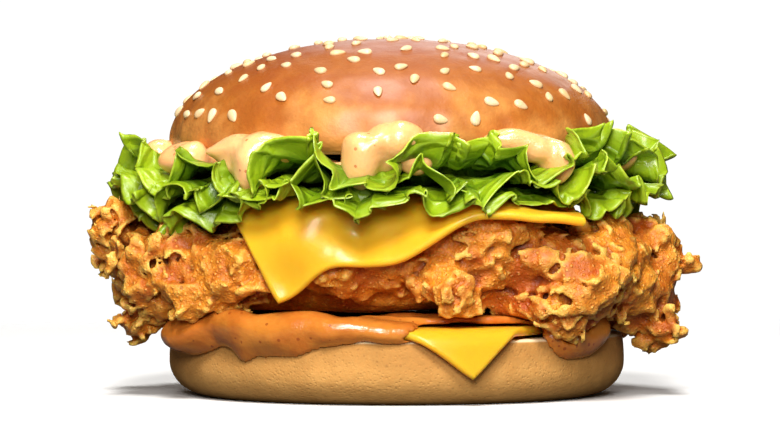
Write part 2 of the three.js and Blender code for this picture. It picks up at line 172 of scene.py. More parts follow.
def soft_min(a, b, blend):
    """The lower of two distances, with the corner between them filled."""
    return np.minimum(a, b) - np.maximum(blend - np.abs(a - b), 0) ** 2 / (4 * blend)


# Solid forms as distances on a lattice

class Lattice:
    """Evenly spaced points in a box, on which a form is its distance, negative inside."""

    def __init__(self, low, high, pitch):
        self.pitch = pitch
        self.first = np.floor(np.array(low) / pitch).astype(int)
        self.corner = tuple(int(k) for k in self.first)
        self.shape = tuple(np.ceil(np.array(high) / pitch).astype(int) - self.first + 1)

    def axes(self):
        lines = [(self.first[k] + np.arange(self.shape[k])) * self.pitch for k in range(3)]
        return np.ix_(*lines)

    def places(self, chosen):
        """The chosen points of the lattice, one to a row."""
        return np.stack([axis[chosen] for axis in np.broadcast_arrays(*self.axes())], axis=-1)

    def distance(self, points, faces, reach):
        """Distances to a closed mesh, true up to reach on both sides."""
        kind = {3: "triangles", 4: "quads"}[faces.shape[1]]
        grid = openvdb.FloatGrid.createLevelSetFromPolygons(
            np.ascontiguousarray(points, dtype=np.float64),
            transform=openvdb.createLinearTransform(self.pitch),
            halfWidth=reach / self.pitch,
            **{kind: np.ascontiguousarray(faces, dtype=np.uint32)},
        )
        field = np.empty(self.shape, np.float32)
        grid.copyToArray(field, ijk=self.corner)
        return field

    def noise(self, size, stream):
        """Smooth noise from about -1 to 1 over the whole lattice."""
        def weights(count):
            at = np.arange(count) * self.pitch / size
            whole = np.floor(at).astype(int)
            part = at - whole
            line = np.arange(count)
            table = np.zeros((count, whole[-1] + 4), np.float32)
            table[line, whole] = (1 - part) ** 3 / 6
            table[line, whole + 1] = (3 * part**3 - 6 * part**2 + 4) / 6
            table[line, whole + 2] = (-3 * part**3 + 3 * part**2 + 3 * part + 1) / 6
            table[line, whole + 3] = part**3 / 6
            return table

        across, deep, high = [weights(count) for count in self.shape]
        size_of_table = (across.shape[1], deep.shape[1], high.shape[1])
        knots = np.random.default_rng(stream).uniform(-1, 1, size_of_table).astype(np.float32)
        field = np.tensordot(across, knots, (1, 0))
        field = np.tensordot(field, deep, (1, 1))
        return 2.1 * np.tensordot(field, high, (1, 1))

    def drift(self, size, stream, chosen):
        """Noise in all three directions at the chosen points."""
        return np.stack([self.noise(size, stream + k)[chosen] for k in range(3)], axis=-1)

    def sample(self, field, points):
        """A field's values at points anywhere in the lattice."""
        at = points / self.pitch - self.first
        at = np.clip(at, 0, np.array(self.shape) - 1.001)
        whole = at.astype(np.int32)
        part = (at - whole).astype(np.float32)
        flat = field.ravel()
        strides = np.array([self.shape[1] * self.shape[2], self.shape[2], 1])
        start = whole @ strides
        total = 0
        for corner in np.ndindex(2, 2, 2):
            weight = np.prod(np.where(corner, part, 1 - part), axis=-1)
            total = total + weight * flat[start + int(strides @ corner)]
        return total

    def block(self, centre, reach):
        """The slices of the lattice within reach of a centre, and the offsets from it."""
        low = np.floor((centre - reach) / self.pitch).astype(int) - self.first
        high = np.ceil((centre + reach) / self.pitch).astype(int) - self.first + 1
        low = np.clip(low, 0, self.shape)
        high = np.clip(high, 0, self.shape)
        cut = tuple(slice(a, b) for a, b in zip(low, high))
        lines = [
            (self.first[k] + np.arange(low[k], high[k])) * self.pitch - centre[k]
            for k in range(3)
        ]
        return cut, np.ix_(*lines)

    def surface(self, field):
        """The mesh where the field passes through nothing."""
        edge = 3 * self.pitch
        grid = openvdb.FloatGrid(edge)
        grid.transform = openvdb.createLinearTransform(self.pitch)
        bounded = np.clip(field, -edge, edge).astype(np.float32)
        grid.copyFromArray(bounded, ijk=self.corner)
        points, faces = grid.convertToQuads(0.0)
        points = points.astype(np.float64)
        faces = faces.astype(np.int64)
        if volume_of(points, faces) < 0:
            faces = faces[:, ::-1]
        return points, faces


def volume_of(points, faces):
    """The volume of a closed mesh, below nothing where its faces look inwards."""
    a = points[faces[:, 0]]
    total = 0
    for k in range(1, faces.shape[1] - 1):
        b = points[faces[:, k]]
        c = points[faces[:, k + 1]]
        total += np.sum(a * np.cross(b, c)) / 6
    return total


def largest_part(points, faces):
    """The mesh without the crumbs that hang in the air."""
    label = np.arange(len(points))
    while True:
        before = label.copy()
        lowest = label[faces].min(axis=1)
        np.minimum.at(label, faces.ravel(), np.repeat(lowest, faces.shape[1]))
        label = label[label]
        if np.array_equal(label, before):
            break
    counts = np.bincount(label, minlength=len(points))
    kept = label == np.argmax(counts)
    number = np.cumsum(kept) - 1
    faces = faces[kept[faces[:, 0]]]
    return points[kept], number[faces]


def simplified(points, faces, count):
    """The mesh with at most count triangles, fewest where it is flat."""
    mesh = bpy.data.meshes.new("plain")
    mesh.from_pydata(points.tolist(), [], faces.tolist())
    holder = bpy.data.objects.new("plain", mesh)
    bpy.context.scene.collection.objects.link(holder)
    fewer = holder.modifiers.new("fewer", "DECIMATE")
    fewer.ratio = min(1, count / (len(faces) * (faces.shape[1] - 2)))
    done = holder.evaluated_get(bpy.context.evaluated_depsgraph_get()).to_mesh()
    kept = np.empty(len(done.vertices) * 3, np.float32)
    done.vertices.foreach_get("co", kept)
    done.calc_loop_triangles()
    triangles = np.empty(len(done.loop_triangles) * 3, np.int32)
    done.loop_triangles.foreach_get("vertices", triangles)
    bpy.data.objects.remove(holder)
    bpy.data.meshes.remove(mesh)
    return kept.reshape(-1, 3).astype(float), triangles.reshape(-1, 3)


# Pieces

def make_piece(name, points, faces, node, slot, material, marks=None):
    """A smooth mesh piece that stands for a node. Marks are numbers kept on its points."""
    mesh = bpy.data.meshes.new(name)
    mesh.vertices.add(len(points))
    mesh.vertices.foreach_set("co", ((points - MIDDLE) * MM).astype(np.float32).ravel())
    mesh.loops.add(faces.size)
    mesh.loops.foreach_set("vertex_index", faces.astype(np.int32).ravel())
    mesh.polygons.add(len(faces))
    starts = np.arange(0, faces.size, faces.shape[1], dtype=np.int32)
    mesh.polygons.foreach_set("loop_start", starts)
    for key, values in (marks or {}).items():
        kind = "FLOAT" if values.ndim == 1 else "FLOAT_VECTOR"
        attribute = mesh.attributes.new(key, kind, "POINT")
        part = "value" if values.ndim == 1 else "vector"
        attribute.data.foreach_set(part, values.astype(np.float32).ravel())
    mesh.validate()
    mesh.update()
    mesh.shade_smooth()
    piece = bpy.data.objects.new(name, mesh)
    bpy.context.scene.collection.objects.link(piece)
    mesh.materials.append(material)
    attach(piece, "root")
    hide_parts(node)


def grid_faces(rows, columns, wrap=False):
    """Quads over a grid of points, joined round the columns where it wraps."""
    across = columns if wrap else columns - 1
    row, column = np.meshgrid(np.arange(rows - 1), np.arange(across), indexing="ij")
    a = row * columns + column
    b = row * columns + (column + 1) % columns
    return np.stack([a, b, b + columns, a + columns], axis=-1).reshape(-1, 4)


def spun(radius, height):
    """Rings of points from a profile turned round the axis."""
    round_ = np.arange(BUN_TURNS) * 2 * math.pi / BUN_TURNS
    return around(round_[None, :], radius[:, None], height[:, None])


def closed_rings(grid, first, last):
    """A closed form from rings of points, with one more point at each end."""
    rows, columns = grid.shape[:2]
    points = np.concatenate([grid.reshape(-1, 3), [first, last]])
    quads = grid_faces(rows, columns, wrap=True)
    ring = np.arange(columns)
    following = (ring + 1) % columns
    end = (rows - 1) * columns
    near_end = np.stack([following, ring, np.full(columns, rows * columns)], -1)
    far_end = np.stack([end + ring, end + following, np.full(columns, rows * columns + 1)], -1)
    return points, np.concatenate([quads[:, [0, 1, 2]], quads[:, [0, 2, 3]], near_end, far_end])


def normals_of(grid):
    """Unit normals over a grid of points."""
    return unit(np.cross(np.gradient(grid, axis=1), np.gradient(grid, axis=0)))


def thin_solid(grid, thickness):
    """A closed thin solid about a grid of points, thinning to nothing at its margin."""
    rows, columns = grid.shape[:2]
    out = normals_of(grid) * np.broadcast_to(thickness, (rows, columns))[..., None] / 2
    border = np.zeros((rows, columns), bool)
    border[[0, -1], :] = True
    border[:, [0, -1]] = True
    count = rows * columns
    back = np.arange(count) + count
    back[border.ravel()] = np.flatnonzero(border.ravel())
    points = np.concatenate([(grid + out).reshape(-1, 3), (grid - out).reshape(-1, 3)])
    points[np.flatnonzero(border.ravel())] = grid.reshape(-1, 3)[border.ravel()]
    front = grid_faces(rows, columns)[:, ::-1]
    faces = np.concatenate([front, back[front[:, ::-1]]])
    used = np.unique(faces)
    number = np.zeros(2 * count, int)
    number[used] = np.arange(len(used))
    return points[used], number[faces], used % count


def solid_of_node(name):
    """A node's own mesh, as points about the dome's axis and triangles."""
    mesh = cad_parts[name].data
    points = np.empty(len(mesh.vertices) * 3, np.float32)
    mesh.vertices.foreach_get("co", points)
    mesh.calc_loop_triangles()
    faces = np.empty(len(mesh.loop_triangles) * 3, np.int32)
    mesh.loop_triangles.foreach_get("vertices", faces)
    return points.reshape(-1, 3).astype(float) / MM + MIDDLE, faces.reshape(-1, 3)


# Shader helpers

def tint(red, green, blue):
    """A colour given as it looks on a screen, each part from 0 to 255."""
    linear = [((c / 255 + 0.055) / 1.055) ** 2.4 if c > 10 else c / 255 / 12.92
              for c in (red, green, blue)]
    return (*linear, 1.0)


def add_node(tree, kind, settings=None, sockets=None):
    """Adds a node; a socket is given a value, or another node's output to link from."""
    made = tree.nodes.new(kind)
    for key, value in (settings or {}).items():
        setattr(made, key, value)
    for key, value in (sockets or {}).items():
        if isinstance(value, bpy.types.NodeSocket):
            tree.links.new(value, made.inputs[key])
        else:
            made.inputs[key].default_value = value
    return made


def calculate(tree, operation, a, b, c=0.0):
    made = add_node(tree, "ShaderNodeMath", {"operation": operation}, {0: a, 1: b, 2: c})
    return made.outputs[0]


def share_of(tree, value, start, end):
    """0 up to start and 1 from end, with a smooth step between."""
    made = add_node(tree, "ShaderNodeMapRange", {"interpolation_type": "SMOOTHSTEP"},
                    {"Value": value, "From Min": start, "From Max": end})
    return made.outputs["Result"]


def spread_over(tree, value, low, high):
    """A number that goes from low to high as the value goes from 0 to 1."""
    made = add_node(tree, "ShaderNodeMapRange", None,
                    {"Value": value, "To Min": low, "To Max": high})
    return made.outputs["Result"]


def blend_colours(tree, share, first, second):
    made = add_node(tree, "ShaderNodeMix", {"data_type": "RGBA"},
                    {"Factor": share, 6: first, 7: second})
    return made.outputs[2]


def laid_over(tree, colour, mask, amount, second):
    """A colour with some of a second one where the mask says."""
    return blend_colours(tree, calculate(tree, "MULTIPLY", mask, amount), colour, second)


def mark(tree, name, output="Fac"):
    """What a piece keeps on its points under a name."""
    made = add_node(tree, "ShaderNodeAttribute", {"attribute_name": name})
    return made.outputs[output]


def object_place(tree):
    return add_node(tree, "ShaderNodeTexCoord").outputs["Object"]


def noise_of(tree, place, scale, detail, roughness):
    made = add_node(tree, "ShaderNodeTexNoise", None,
                    {"Vector": place, "Scale": scale, "Detail": detail, "Roughness": roughness})
    return made.outputs["Fac"]


def cells_of(tree, place, scale, feature="F1"):
    """Irregular cells, with the distance to their middles or to their edges."""
    made = add_node(tree, "ShaderNodeTexVoronoi", {"feature": feature},
                    {"Vector": place, "Scale": scale, "Randomness": 1.0})
    return made.outputs


def start_group(name, inputs, outputs):
    """A node group with number inputs, apart from Place, which is a point."""
    tree = bpy.data.node_groups.new(name, "ShaderNodeTree")
    for key, value in inputs.items():
        kind = "NodeSocketVector" if value is None else "NodeSocketFloat"
        socket = tree.interface.new_socket(key, in_out="INPUT", socket_type=kind)
        if value is not None:
            socket.default_value = value
    for key in outputs:
        tree.interface.new_socket(key, in_out="OUTPUT", socket_type="NodeSocketFloat")
    return tree, tree.nodes.new("NodeGroupInput").outputs, tree.nodes.new("NodeGroupOutput").inputs


def use_group(tree, group, sockets):
    return add_node(tree, "ShaderNodeGroup", {"node_tree": group}, sockets).outputs


def mottle_group():
    """Soft patches of two sizes, as baking and frying leave, from 0 to 1."""
    tree, given, made = start_group("mottle", {"Place": None, "Size": 0.01}, ["Patches", "Fine"])
    scale = calculate(tree, "DIVIDE", 1.0, given["Size"])
    broad = noise_of(tree, given["Place"], scale, 3.0, 0.6)
    tree.links.new(share_of(tree, broad, 0.36, 0.64), made["Patches"])
    fine = noise_of(tree, given["Place"], calculate(tree, "MULTIPLY", scale, 4.3), 4.0, 0.65)
    tree.links.new(share_of(tree, fine, 0.34, 0.66), made["Fine"])
    return tree


def grain_group():
    """Height of a fine uneven skin with small pits."""
    inputs = {"Place": None, "Size": 0.001, "Pits": 0.5}
    tree, given, made = start_group("grain", inputs, ["Height"])
    scale = calculate(tree, "DIVIDE", 1.0, given["Size"])
    skin = noise_of(tree, given["Place"], scale, 5.0, 0.6)
    pit = share_of(tree, cells_of(tree, given["Place"], scale)["Distance"], 0.1, 0.42)
    depth = calculate(tree, "MULTIPLY", pit, given["Pits"])
    tree.links.new(calculate(tree, "ADD", skin, depth), made["Height"])
    return tree


def specks_group():
    """Scattered specks, 1 on a speck: Share of the cells hold one."""
    inputs = {"Place": None, "Size": 0.001, "Share": 0.2}
    tree, given, made = start_group("specks", inputs, ["Mask"])
    scale = calculate(tree, "DIVIDE", 1.0, given["Size"])
    cells = cells_of(tree, given["Place"], scale)
    parts = add_node(tree, "ShaderNodeSeparateColor", None, {"Color": cells["Color"]})
    chosen = calculate(tree, "LESS_THAN", parts.outputs["Red"], given["Share"])
    wide = calculate(tree, "MULTIPLY_ADD", parts.outputs["Green"], 0.2, 0.12)
    inside = calculate(tree, "LESS_THAN", cells["Distance"], wide)
    tree.links.new(calculate(tree, "MULTIPLY", chosen, inside), made["Mask"])
    return tree


MOTTLE = mottle_group()
GRAIN = grain_group()
SPECKS = specks_group()


def start_material(name, patch_size):
    """A new material with its nodes and shader, places on the object, and soft patches."""
    material = bpy.data.materials.new(name)
    material.use_nodes = True
    tree = material.node_tree
    place = object_place(tree)
    patches = use_group(tree, MOTTLE, {"Place": place, "Size": patch_size})
    return material, tree, tree.nodes["Principled BSDF"], place, patches


def finish_surface(tree, shader, colour, roughness, light_in, values=None):
    """Links the colour and roughness, and sets the values that are the same all over.
    What light enters is a share of it and how far its red, green and blue reach."""
    tree.links.new(colour, shader.inputs["Base Color"])
    if isinstance(roughness, bpy.types.NodeSocket):
        tree.links.new(roughness, shader.inputs["Roughness"])
    else:
        shader.inputs["Roughness"].default_value = roughness
    share, reach = light_in
    inner = {"Subsurface Weight": share, "Subsurface Radius": reach, "Subsurface Scale": 1.0}
    for key, value in {**inner, **(values or {})}.items():
        shader.inputs[key].default_value = value


def add_bump(tree, shader, height, distance, strength, under=None):
    """Low relief on a surface, laid over what another bump gives."""
    sockets = {"Height": height, "Distance": distance, "Strength": strength}
    if under:
        sockets["Normal"] = under
    bump = add_node(tree, "ShaderNodeBump", None, sockets)
    tree.links.new(bump.outputs["Normal"], shader.inputs["Normal"])
    return bump.outputs["Normal"]


def add_grain(tree, shader, place, size, pits, distance, strength, under=None):
    """The low relief of a fine uneven skin, with grains of a size."""
    grain = use_group(tree, GRAIN, {"Place": place, "Size": size, "Pits": pits})
    add_bump(tree, shader, grain["Height"], distance, strength, under)


# Bun top: a glazed dome, dark on top and pale towards the lip

def dome_profile(angle):
    """Radius and height on the dome at an angle from its top."""
    shoulder = DOME["bottom"] + DOME["lip"]
    return DOME["radius"] * np.sin(angle), shoulder + (DOME["top"] - shoulder) * np.cos(angle)


def dome_bulge(points):
    """How far the dome swells out of round, with pleats low on its side."""
    pleats = np.cos(22 * angle_of(points))
    pleats = pleats * smooth(76 - points[..., 2], 0, 14)
    return 1 + 0.012 * uneven(points, 50, 21) + 0.004 * pleats


def bun_top_form():
    """The whole dome with its flat underside."""
    angles = np.linspace(0.012, math.pi / 2, 96)
    radius, height = dome_profile(angles)
    lip = np.linspace(math.pi / 2, 0, 12)[1:]
    lip_radius = DOME["radius"] - DOME["lip"] + DOME["lip"] * np.sin(lip)
    lip_height = DOME["bottom"] + DOME["lip"] - DOME["lip"] * np.cos(lip)
    under = np.linspace(DOME["radius"] - DOME["lip"], 0.5, 26)[1:]
    radius = np.concatenate([radius, lip_radius, under])
    height = np.concatenate([height, lip_height, np.full(len(under), DOME["bottom"])])
    grid = spun(radius, height)
    bulge = np.where(grid[..., 2] > DOME["bottom"] + 1, dome_bulge(grid), 1)
    grid[..., :2] *= bulge[..., None]
    side = smooth(84 - grid[..., 2], 0, 20) * (grid[..., 2] > DOME["bottom"] + 0.5)
    stretched = grid * np.array([1, 1, 0.35])
    creases = rough(stretched, 5, 31) * side * 0.28
    dimples = rough(grid, 9, 32) * 0.22 + rough(grid, 3.5, 33) * 0.07
    out = unit(grid * np.array([1, 1, 0]) + np.array([0, 0, 1]) * (grid[..., 2:] - 50))
    on_crust = grid[..., 2:] > DOME["bottom"] + 0.5
    grid = grid + out * (creases + dimples)[..., None] * on_crust
    crumb = rough(grid, 2.2, 34) * 0.25 * ~on_crust[..., 0]
    grid[..., 2] += np.maximum(crumb, 0)
    points, faces = closed_rings(grid, [0, 0, grid[0, :, 2].mean()], [0, 0, DOME["bottom"]])
    return points, faces[:, ::-1]


def seed_places():
    """Where the seeds lie: a widening spiral, then more of them between."""
    golden = math.pi * (3 - math.sqrt(5))
    places = []
    for i in range(SPIRAL_SEEDS + 400):
        if i < SPIRAL_SEEDS:
            share = (i + 0.35 + 0.3 * draw(i, 1)) / SPIRAL_SEEDS
            angle = 1.2 * share**0.62
            round_ = golden * i + 0.5 * (draw(i, 2) - 0.5)
        else:
            angle = 1.42 * draw(i, 5) ** 0.75
            round_ = 2 * math.pi * draw(i, 6)
        radius, height = dome_profile(angle)
        here = around(round_, radius, height)
        here[:2] *= dome_bulge(here)
        near_radius, near_height = dome_profile(angle + 0.01)
        slope = math.atan2(height - near_height, near_radius - radius)
        out = around(round_, math.sin(slope), math.cos(slope))
        apart = [np.linalg.norm(here - other[0]) for other in places]
        if i >= SPIRAL_SEEDS and min(apart) < SEEDS_APART:
            continue
        places.append((here, out, 2 * math.pi * draw(i, 3), 0.88 + 0.24 * draw(i, 4)))
        if len(places) >= ALL_SEEDS:
            break
    return places


def seed_form():
    """A pointed oval seed lying along x, for a length of 1."""
    columns, rows = 16, 9
    turn = np.arange(columns) * 2 * math.pi / columns
    along = np.linspace(0.18, math.pi - 0.18, rows)
    grid = 0.5 * np.stack([
        np.broadcast_to(np.cos(along)[:, None], (rows, columns)),
        np.sin(along)[:, None] * np.cos(turn)[None, :],
        np.sin(along)[:, None] * np.sin(turn)[None, :],
    ], axis=-1)
    points, faces = closed_rings(grid, [0.5, 0, 0], [-0.5, 0, 0])
    narrow = 1 - 0.7 * points[:, 0]
    points = points * np.array([SEED_SIZE["length"], SEED_SIZE["width"], SEED_SIZE["depth"]])
    points[:, 1:] *= narrow[:, None]
    return points, faces


def seeds_form():
    """All the seeds, each leaning as the dome does under it."""
    shape, faces = seed_form()
    all_points, all_faces, shades = [], [], []
    for number, (here, out, spin, size) in enumerate(seed_places()):
        turned = shape * size
        wavy = 1 + 0.06 * rough(shape + 9 * number, 1.6, 41)
        turned = turned * wavy[:, None]
        cos, sin = math.cos(spin), math.sin(spin)
        turned = turned @ np.array([[cos, sin, 0], [-sin, cos, 0], [0, 0, 1]])
        lean = Vector((0, 0, 1)).rotation_difference(Vector(out)).to_matrix()
        turned = turned @ np.array(lean).T + here + 0.2 * out
        all_faces.append(faces + number * len(shape))
        all_points.append(turned)
        shades.append(np.full(len(shape), draw(number, 7)))
    return np.concatenate(all_points), np.concatenate(all_faces), np.concatenate(shades)


def glazed_crust():
    """Glazed bun crust, tan at the lip and browner towards the top, pale where it is cut."""
    material, tree, shader, place, patches = start_material("glazed_crust", 0.022)
    height = add_node(tree, "ShaderNodeSeparateXYZ", None, {"Vector": place}).outputs["Z"]
    shift = calculate(tree, "MULTIPLY_ADD", patches["Patches"], 0.012, -0.006)
    level = calculate(tree, "ADD", height, shift)
    low = blend_colours(tree, share_of(tree, level, 0.062, 0.074), tint(202, 136, 66),
                        tint(166, 94, 30))
    baked = blend_colours(tree, share_of(tree, level, 0.072, 0.086), low, tint(152, 76, 20))
    colour = laid_over(tree, baked, patches["Fine"], 0.34, tint(136, 66, 20))
    cut = share_of(tree, height, 0.0598, 0.0588)
    colour = blend_colours(tree, cut, colour, tint(244, 226, 184))
    polish = spread_over(tree, patches["Fine"], 0.4, 0.52)
    finish_surface(tree, shader, colour, polish, (0.08, (0.004, 0.002, 0.001)), {
        "Coat Weight": 0.6, "Coat Roughness": 0.4, "Specular IOR Level": 0.15,
    })
    add_grain(tree, shader, place, 0.0012, 0.1, 0.0003, 0.8)
    return material


def sesame():
    """Toasted sesame, each seed a little paler or darker than the next."""
    material, tree, shader, place, patches = start_material("sesame", 0.004)
    each = blend_colours(tree, mark(tree, "shade"), tint(236, 214, 174), tint(218, 186, 136))
    colour = laid_over(tree, each, patches["Patches"], 0.35, tint(196, 150, 94))
    finish_surface(tree, shader, colour, 0.42, (0.15, (0.001, 0.0007, 0.0004)))
    add_grain(tree, shader, place, 0.0007, 0.1, 0.0001, 0.5)
    return material


def build_bun_top():
    points, faces = bun_top_form()
    make_piece("bun_dome", points, faces, "bun_top", "bun_top", glazed_crust())
    points, faces, shades = seeds_form()
    make_piece("sesame_seeds", points, faces, "bun_top", "bun_top", sesame(), {"shade": shades})


# Bun base: matte toasted bread with a cut face

def bun_base_form(fine=True):
    """The base with its cut face, plain or with the fine unevenness of its crust."""
    foot = BASE["radius"] - BASE["foot"]
    rise = 8.5
    rim = {"radius": 1.7, "taper": 0.3}
    angle = np.linspace(0, math.pi / 2, 26)
    radius = [np.linspace(0.5, BASE["foot"], 22)[:-1], BASE["foot"] + foot * np.sin(angle)]
    height = [np.zeros(21), rise * (1 - np.cos(angle))]
    side = np.linspace(0, 1, 14)[1:]
    radius.append(BASE["radius"] - rim["taper"] * side**2)
    height.append(rise + (BASE["top"] - rim["radius"] - rise) * side)
    edge = np.linspace(0, math.pi / 2, 9)[1:]
    radius.append(BASE["radius"] - rim["taper"] - 1.4 * (1 - np.cos(edge)))
    height.append(BASE["top"] - rim["radius"] + rim["radius"] * np.sin(edge))
    inner = np.linspace(BASE["radius"] - rim["radius"], 0.5, 40)[1:]
    radius.append(inner)
    height.append(np.full(len(inner), BASE["top"]))
    radius = np.concatenate(radius)
    height = np.concatenate(height)
    grid = spun(radius, height)
    bulge = 1 + 0.012 * uneven(grid, 45, 11) * smooth(grid[..., 2], 0.5, 6)
    grid[..., :2] *= bulge[..., None]
    if fine:
        on_side = smooth(grid[..., 2], 0.2, 3) * smooth(BASE["top"] - grid[..., 2], 0, 1.5)
        bumps = rough(grid, 11, 35) * 0.12 + rough(grid, 1.4, 36) * 0.03
        out = around(angle_of(grid), 1, 0)
        grid = grid + out * (bumps * on_side)[..., None]
        on_cut = smooth(grid[..., 2], BASE["top"] - 0.3, BASE["top"])
        crumb = np.abs(rough(grid, 3, 37)) * 0.5 + rough(grid, 1.5, 38) * 0.15
        grid[..., 2] -= crumb * on_cut
    points, faces = closed_rings(grid, [0, 0, 0], [0, 0, BASE["top"]])
    return points + LOWER_SHIFT, faces


def toasted_bread():
    """Matte bread with small pores, darker up the side and pale on the cut face."""
    material, tree, shader, place, patches = start_material("toasted_bread", 0.012)
    height = add_node(tree, "ShaderNodeSeparateXYZ", None, {"Vector": place}).outputs["Z"]
    shift = calculate(tree, "MULTIPLY_ADD", patches["Patches"], 0.003, -0.0015)
    level = calculate(tree, "ADD", height, shift)
    side = blend_colours(tree, share_of(tree, level, -0.001, 0.013), tint(244, 184, 104),
                         tint(182, 130, 66))
    side = laid_over(tree, side, patches["Fine"], 0.35, tint(206, 146, 74))
    pores = use_group(tree, SPECKS, {"Place": place, "Size": 0.0011, "Share": 0.3})
    side = laid_over(tree, side, pores["Mask"], 0.3, tint(140, 92, 46))
    colour = blend_colours(tree, share_of(tree, height, 0.0146, 0.0152), side,
                           tint(246, 228, 184))
    finish_surface(tree, shader, colour, 0.82, (0.06, (0.003, 0.0015, 0.0008)), {
        "Specular IOR Level": 0.3,
    })
    add_grain(tree, shader, place, 0.0009, 0.5, 0.0002, 0.7)
    return material


def build_bun_base():
    points, faces = bun_base_form()
    make_piece("bun_foot", points, faces, "bun_base", "bun_base", toasted_bread())


# Cheese: soft slices that bend over what they lie on

# Where the upper slice swells over the crust or sinks between: place, rise and width
CHEESE_BULGES = [
    ((-20, -54, 43), 1.8, 9),
    ((-9, -55, 40), -1.6, 7),
    ((4, -55, 43), 1.2, 7),
    ((-27, -58, 32), -0.8, 7),
    ((22, -48, 47), 1.0, 8),
    ((-26, -60, 25), -2.6, 8),
]

# Where the hanging part of the upper slice rides up or sags: angle, width and rise
CHEESE_SAGS = [(-0.26, 0.1, 1.8), (0.02, 0.13, -2.4), (0.34, 0.13, 2.8), (0.74, 0.13, -2.2)]


def base_support():
    """The base under a slice: where its rim is, and how steeply the slice hangs past it."""
    return {
        "bend": 4,
        "edge": lambda round_: BASE["radius"] - 1.2,
        "steep": lambda round_: 1.38,
    }


def fillet_support():
    """The oval fillet under a slice, which hangs steeply only at the front left."""
    return {
        "bend": 9,
        "edge": lambda round_: 1 / np.hypot(np.sin(round_) / FILLET_TOP["half_long"],
                                            np.cos(round_) / FILLET_TOP["half_deep"]),
        "steep": lambda round_: 0.1 + 1.28 * near(-0.3, round_, 0.62),
    }


def draped(place, support, p, q):
    """Points of a slice at p and q across it, carried down past the edge of its support."""
    angle = place["turn"] + math.pi / 4
    x = place["x"] + p * math.cos(angle) - q * math.sin(angle)
    y = place["y"] + p * math.sin(angle) + q * math.cos(angle)
    reach = np.hypot(x, y)
    round_ = np.arctan2(x, -y)
    edge = support["edge"](round_)
    steep = support["steep"](round_)
    bend = support["bend"]
    past = np.maximum(reach - edge, 0)
    arc = np.minimum(past, bend * steep)
    turn = arc / bend
    rest = past - arc
    out = np.minimum(reach, edge) + bend * np.sin(turn) + rest * np.cos(turn)
    down = bend * (1 - np.cos(turn)) + rest * np.sin(turn)
    return around(round_, out, place["level"] - down), past


def cheese_form(place, support, waves, stream, bulges=(), sags=()):
    """A draped slice with a rounded rim, and how far each point is inside the rim."""
    half = CHEESE["side"] / 2
    roll = CHEESE["thick"] / 2
    ease = np.sin(np.linspace(0, math.pi / 2, 6))[:-1]
    inner = np.linspace(-half + roll, half - roll, 84)
    margin = half - roll + roll * ease[1:]
    marks = np.concatenate([[-half], -margin[::-1], inner, margin, [half]])
    p, q = np.meshgrid(marks, marks)
    soft_p = p * (1 - CHEESE["round_off"] * (np.abs(q) / half) ** 14)
    soft_q = q * (1 - CHEESE["round_off"] * (np.abs(p) / half) ** 14)
    grid, past = draped(place, support, soft_p, soft_q)
    hanging = smooth(past, 0, 14)
    round_ = angle_of(grid)
    for at, wide, rise in sags:
        grid[..., 2] += rise * hanging * near(at, round_, wide)
    lift = waves * hanging * (rough(grid, 22, stream) + 0.35 * rough(grid, 9, stream + 1))
    for place_, rise, wide in bulges:
        apart = np.linalg.norm(grid - np.array(place_), axis=-1)
        lift = lift + rise * np.exp(-(apart / wide) ** 2)
    facing = normals_of(grid)
    facing *= np.sign(np.sum(facing * (grid * [1, 1, 0] + [0, 0, 30]), -1, keepdims=True))
    grid = grid + facing * lift[..., None]
    inset = half - np.maximum(np.abs(p), np.abs(q))
    share = np.clip(1 - inset / roll, 0, 1)
    thickness = CHEESE["thick"] * np.sqrt(np.maximum(1 - share**2, 0))
    points, faces, origin = thin_solid(grid, thickness)
    return points, faces, inset.ravel()[origin]


def melting_cheese():
    """Soft warm cheese that light enters, with a painted highlight that brightens its cut rim."""
    material, tree, shader, place, patches = start_material("melting_cheese", 0.02)
    body = laid_over(tree, tint(250, 178, 40), patches["Patches"], 0.4, tint(244, 166, 30))
    # Painted highlight: the colour turns lighter within 2.5 mm of the cut rim.
    rim = share_of(tree, mark(tree, "inset"), 2.5, 0.0)
    colour = laid_over(tree, body, rim, 0.3, tint(255, 190, 52))
    finish_surface(tree, shader, colour, 0.32, (0.7, (0.008, 0.003, 0.0006)), {
        "Coat Weight": 0.1, "Coat Roughness": 0.12, "Specular IOR Level": 0.25,
    })
    add_grain(tree, shader, place, 0.003, 0.0, 0.0002, 0.5)
    return material


def build_cheeses(material):
    upper = cheese_form(UPPER_CHEESE, fillet_support(), 2.0, 51, CHEESE_BULGES, CHEESE_SAGS)
    lower = cheese_form(LOWER_CHEESE, base_support(), 0.5, 53)
    lower = (lower[0] + LOWER_SHIFT, lower[1], lower[2])
    for name, node, (points, faces, inset) in [
        ("cheese_slice_upper", "cheese_upper", upper),
        ("cheese_slice_lower", "cheese_lower", lower),
    ]:
        make_piece(name, points, faces, node, "cheese", material, {"inset": inset})
    return upper, lower


# Lettuce: three tiers of torn leaf, frilled at the margin

# Tongues of the upper sauce, which press the leaves down: angle, half the width, top and
# lowest level, and for some a drip with its angle, half its width and its lowest level
TONGUES = [
    {"round": -1.48, "half": 5, "top": 61, "low": 54},
    {"round": -0.98, "half": 7, "top": 62, "low": 54},
    {"round": -0.56, "half": 11.5, "top": 64.5, "low": 55, "drip": (-0.6, 4, 49.5)},
    {"round": -0.03, "half": 9, "top": 66, "low": 51.5},
    {"round": 0.6, "half": 10.5, "top": 64.5, "low": 54, "drip": (0.68, 4.5, 50)},
    {"round": 1.32, "half": 6, "top": 62.5, "low": 54.5},
    {"round": 2.05, "half": 9, "top": 64, "low": 54, "drip": (2.1, 4, 50.5)},
    {"round": 2.8, "half": 10, "top": 64.5, "low": 53.5},
    {"round": -2.65, "half": 9.5, "top": 64, "low": 53.5, "drip": (-2.62, 4.5, 50)},
    {"round": -2.05, "half": 8, "top": 63, "low": 54},
]

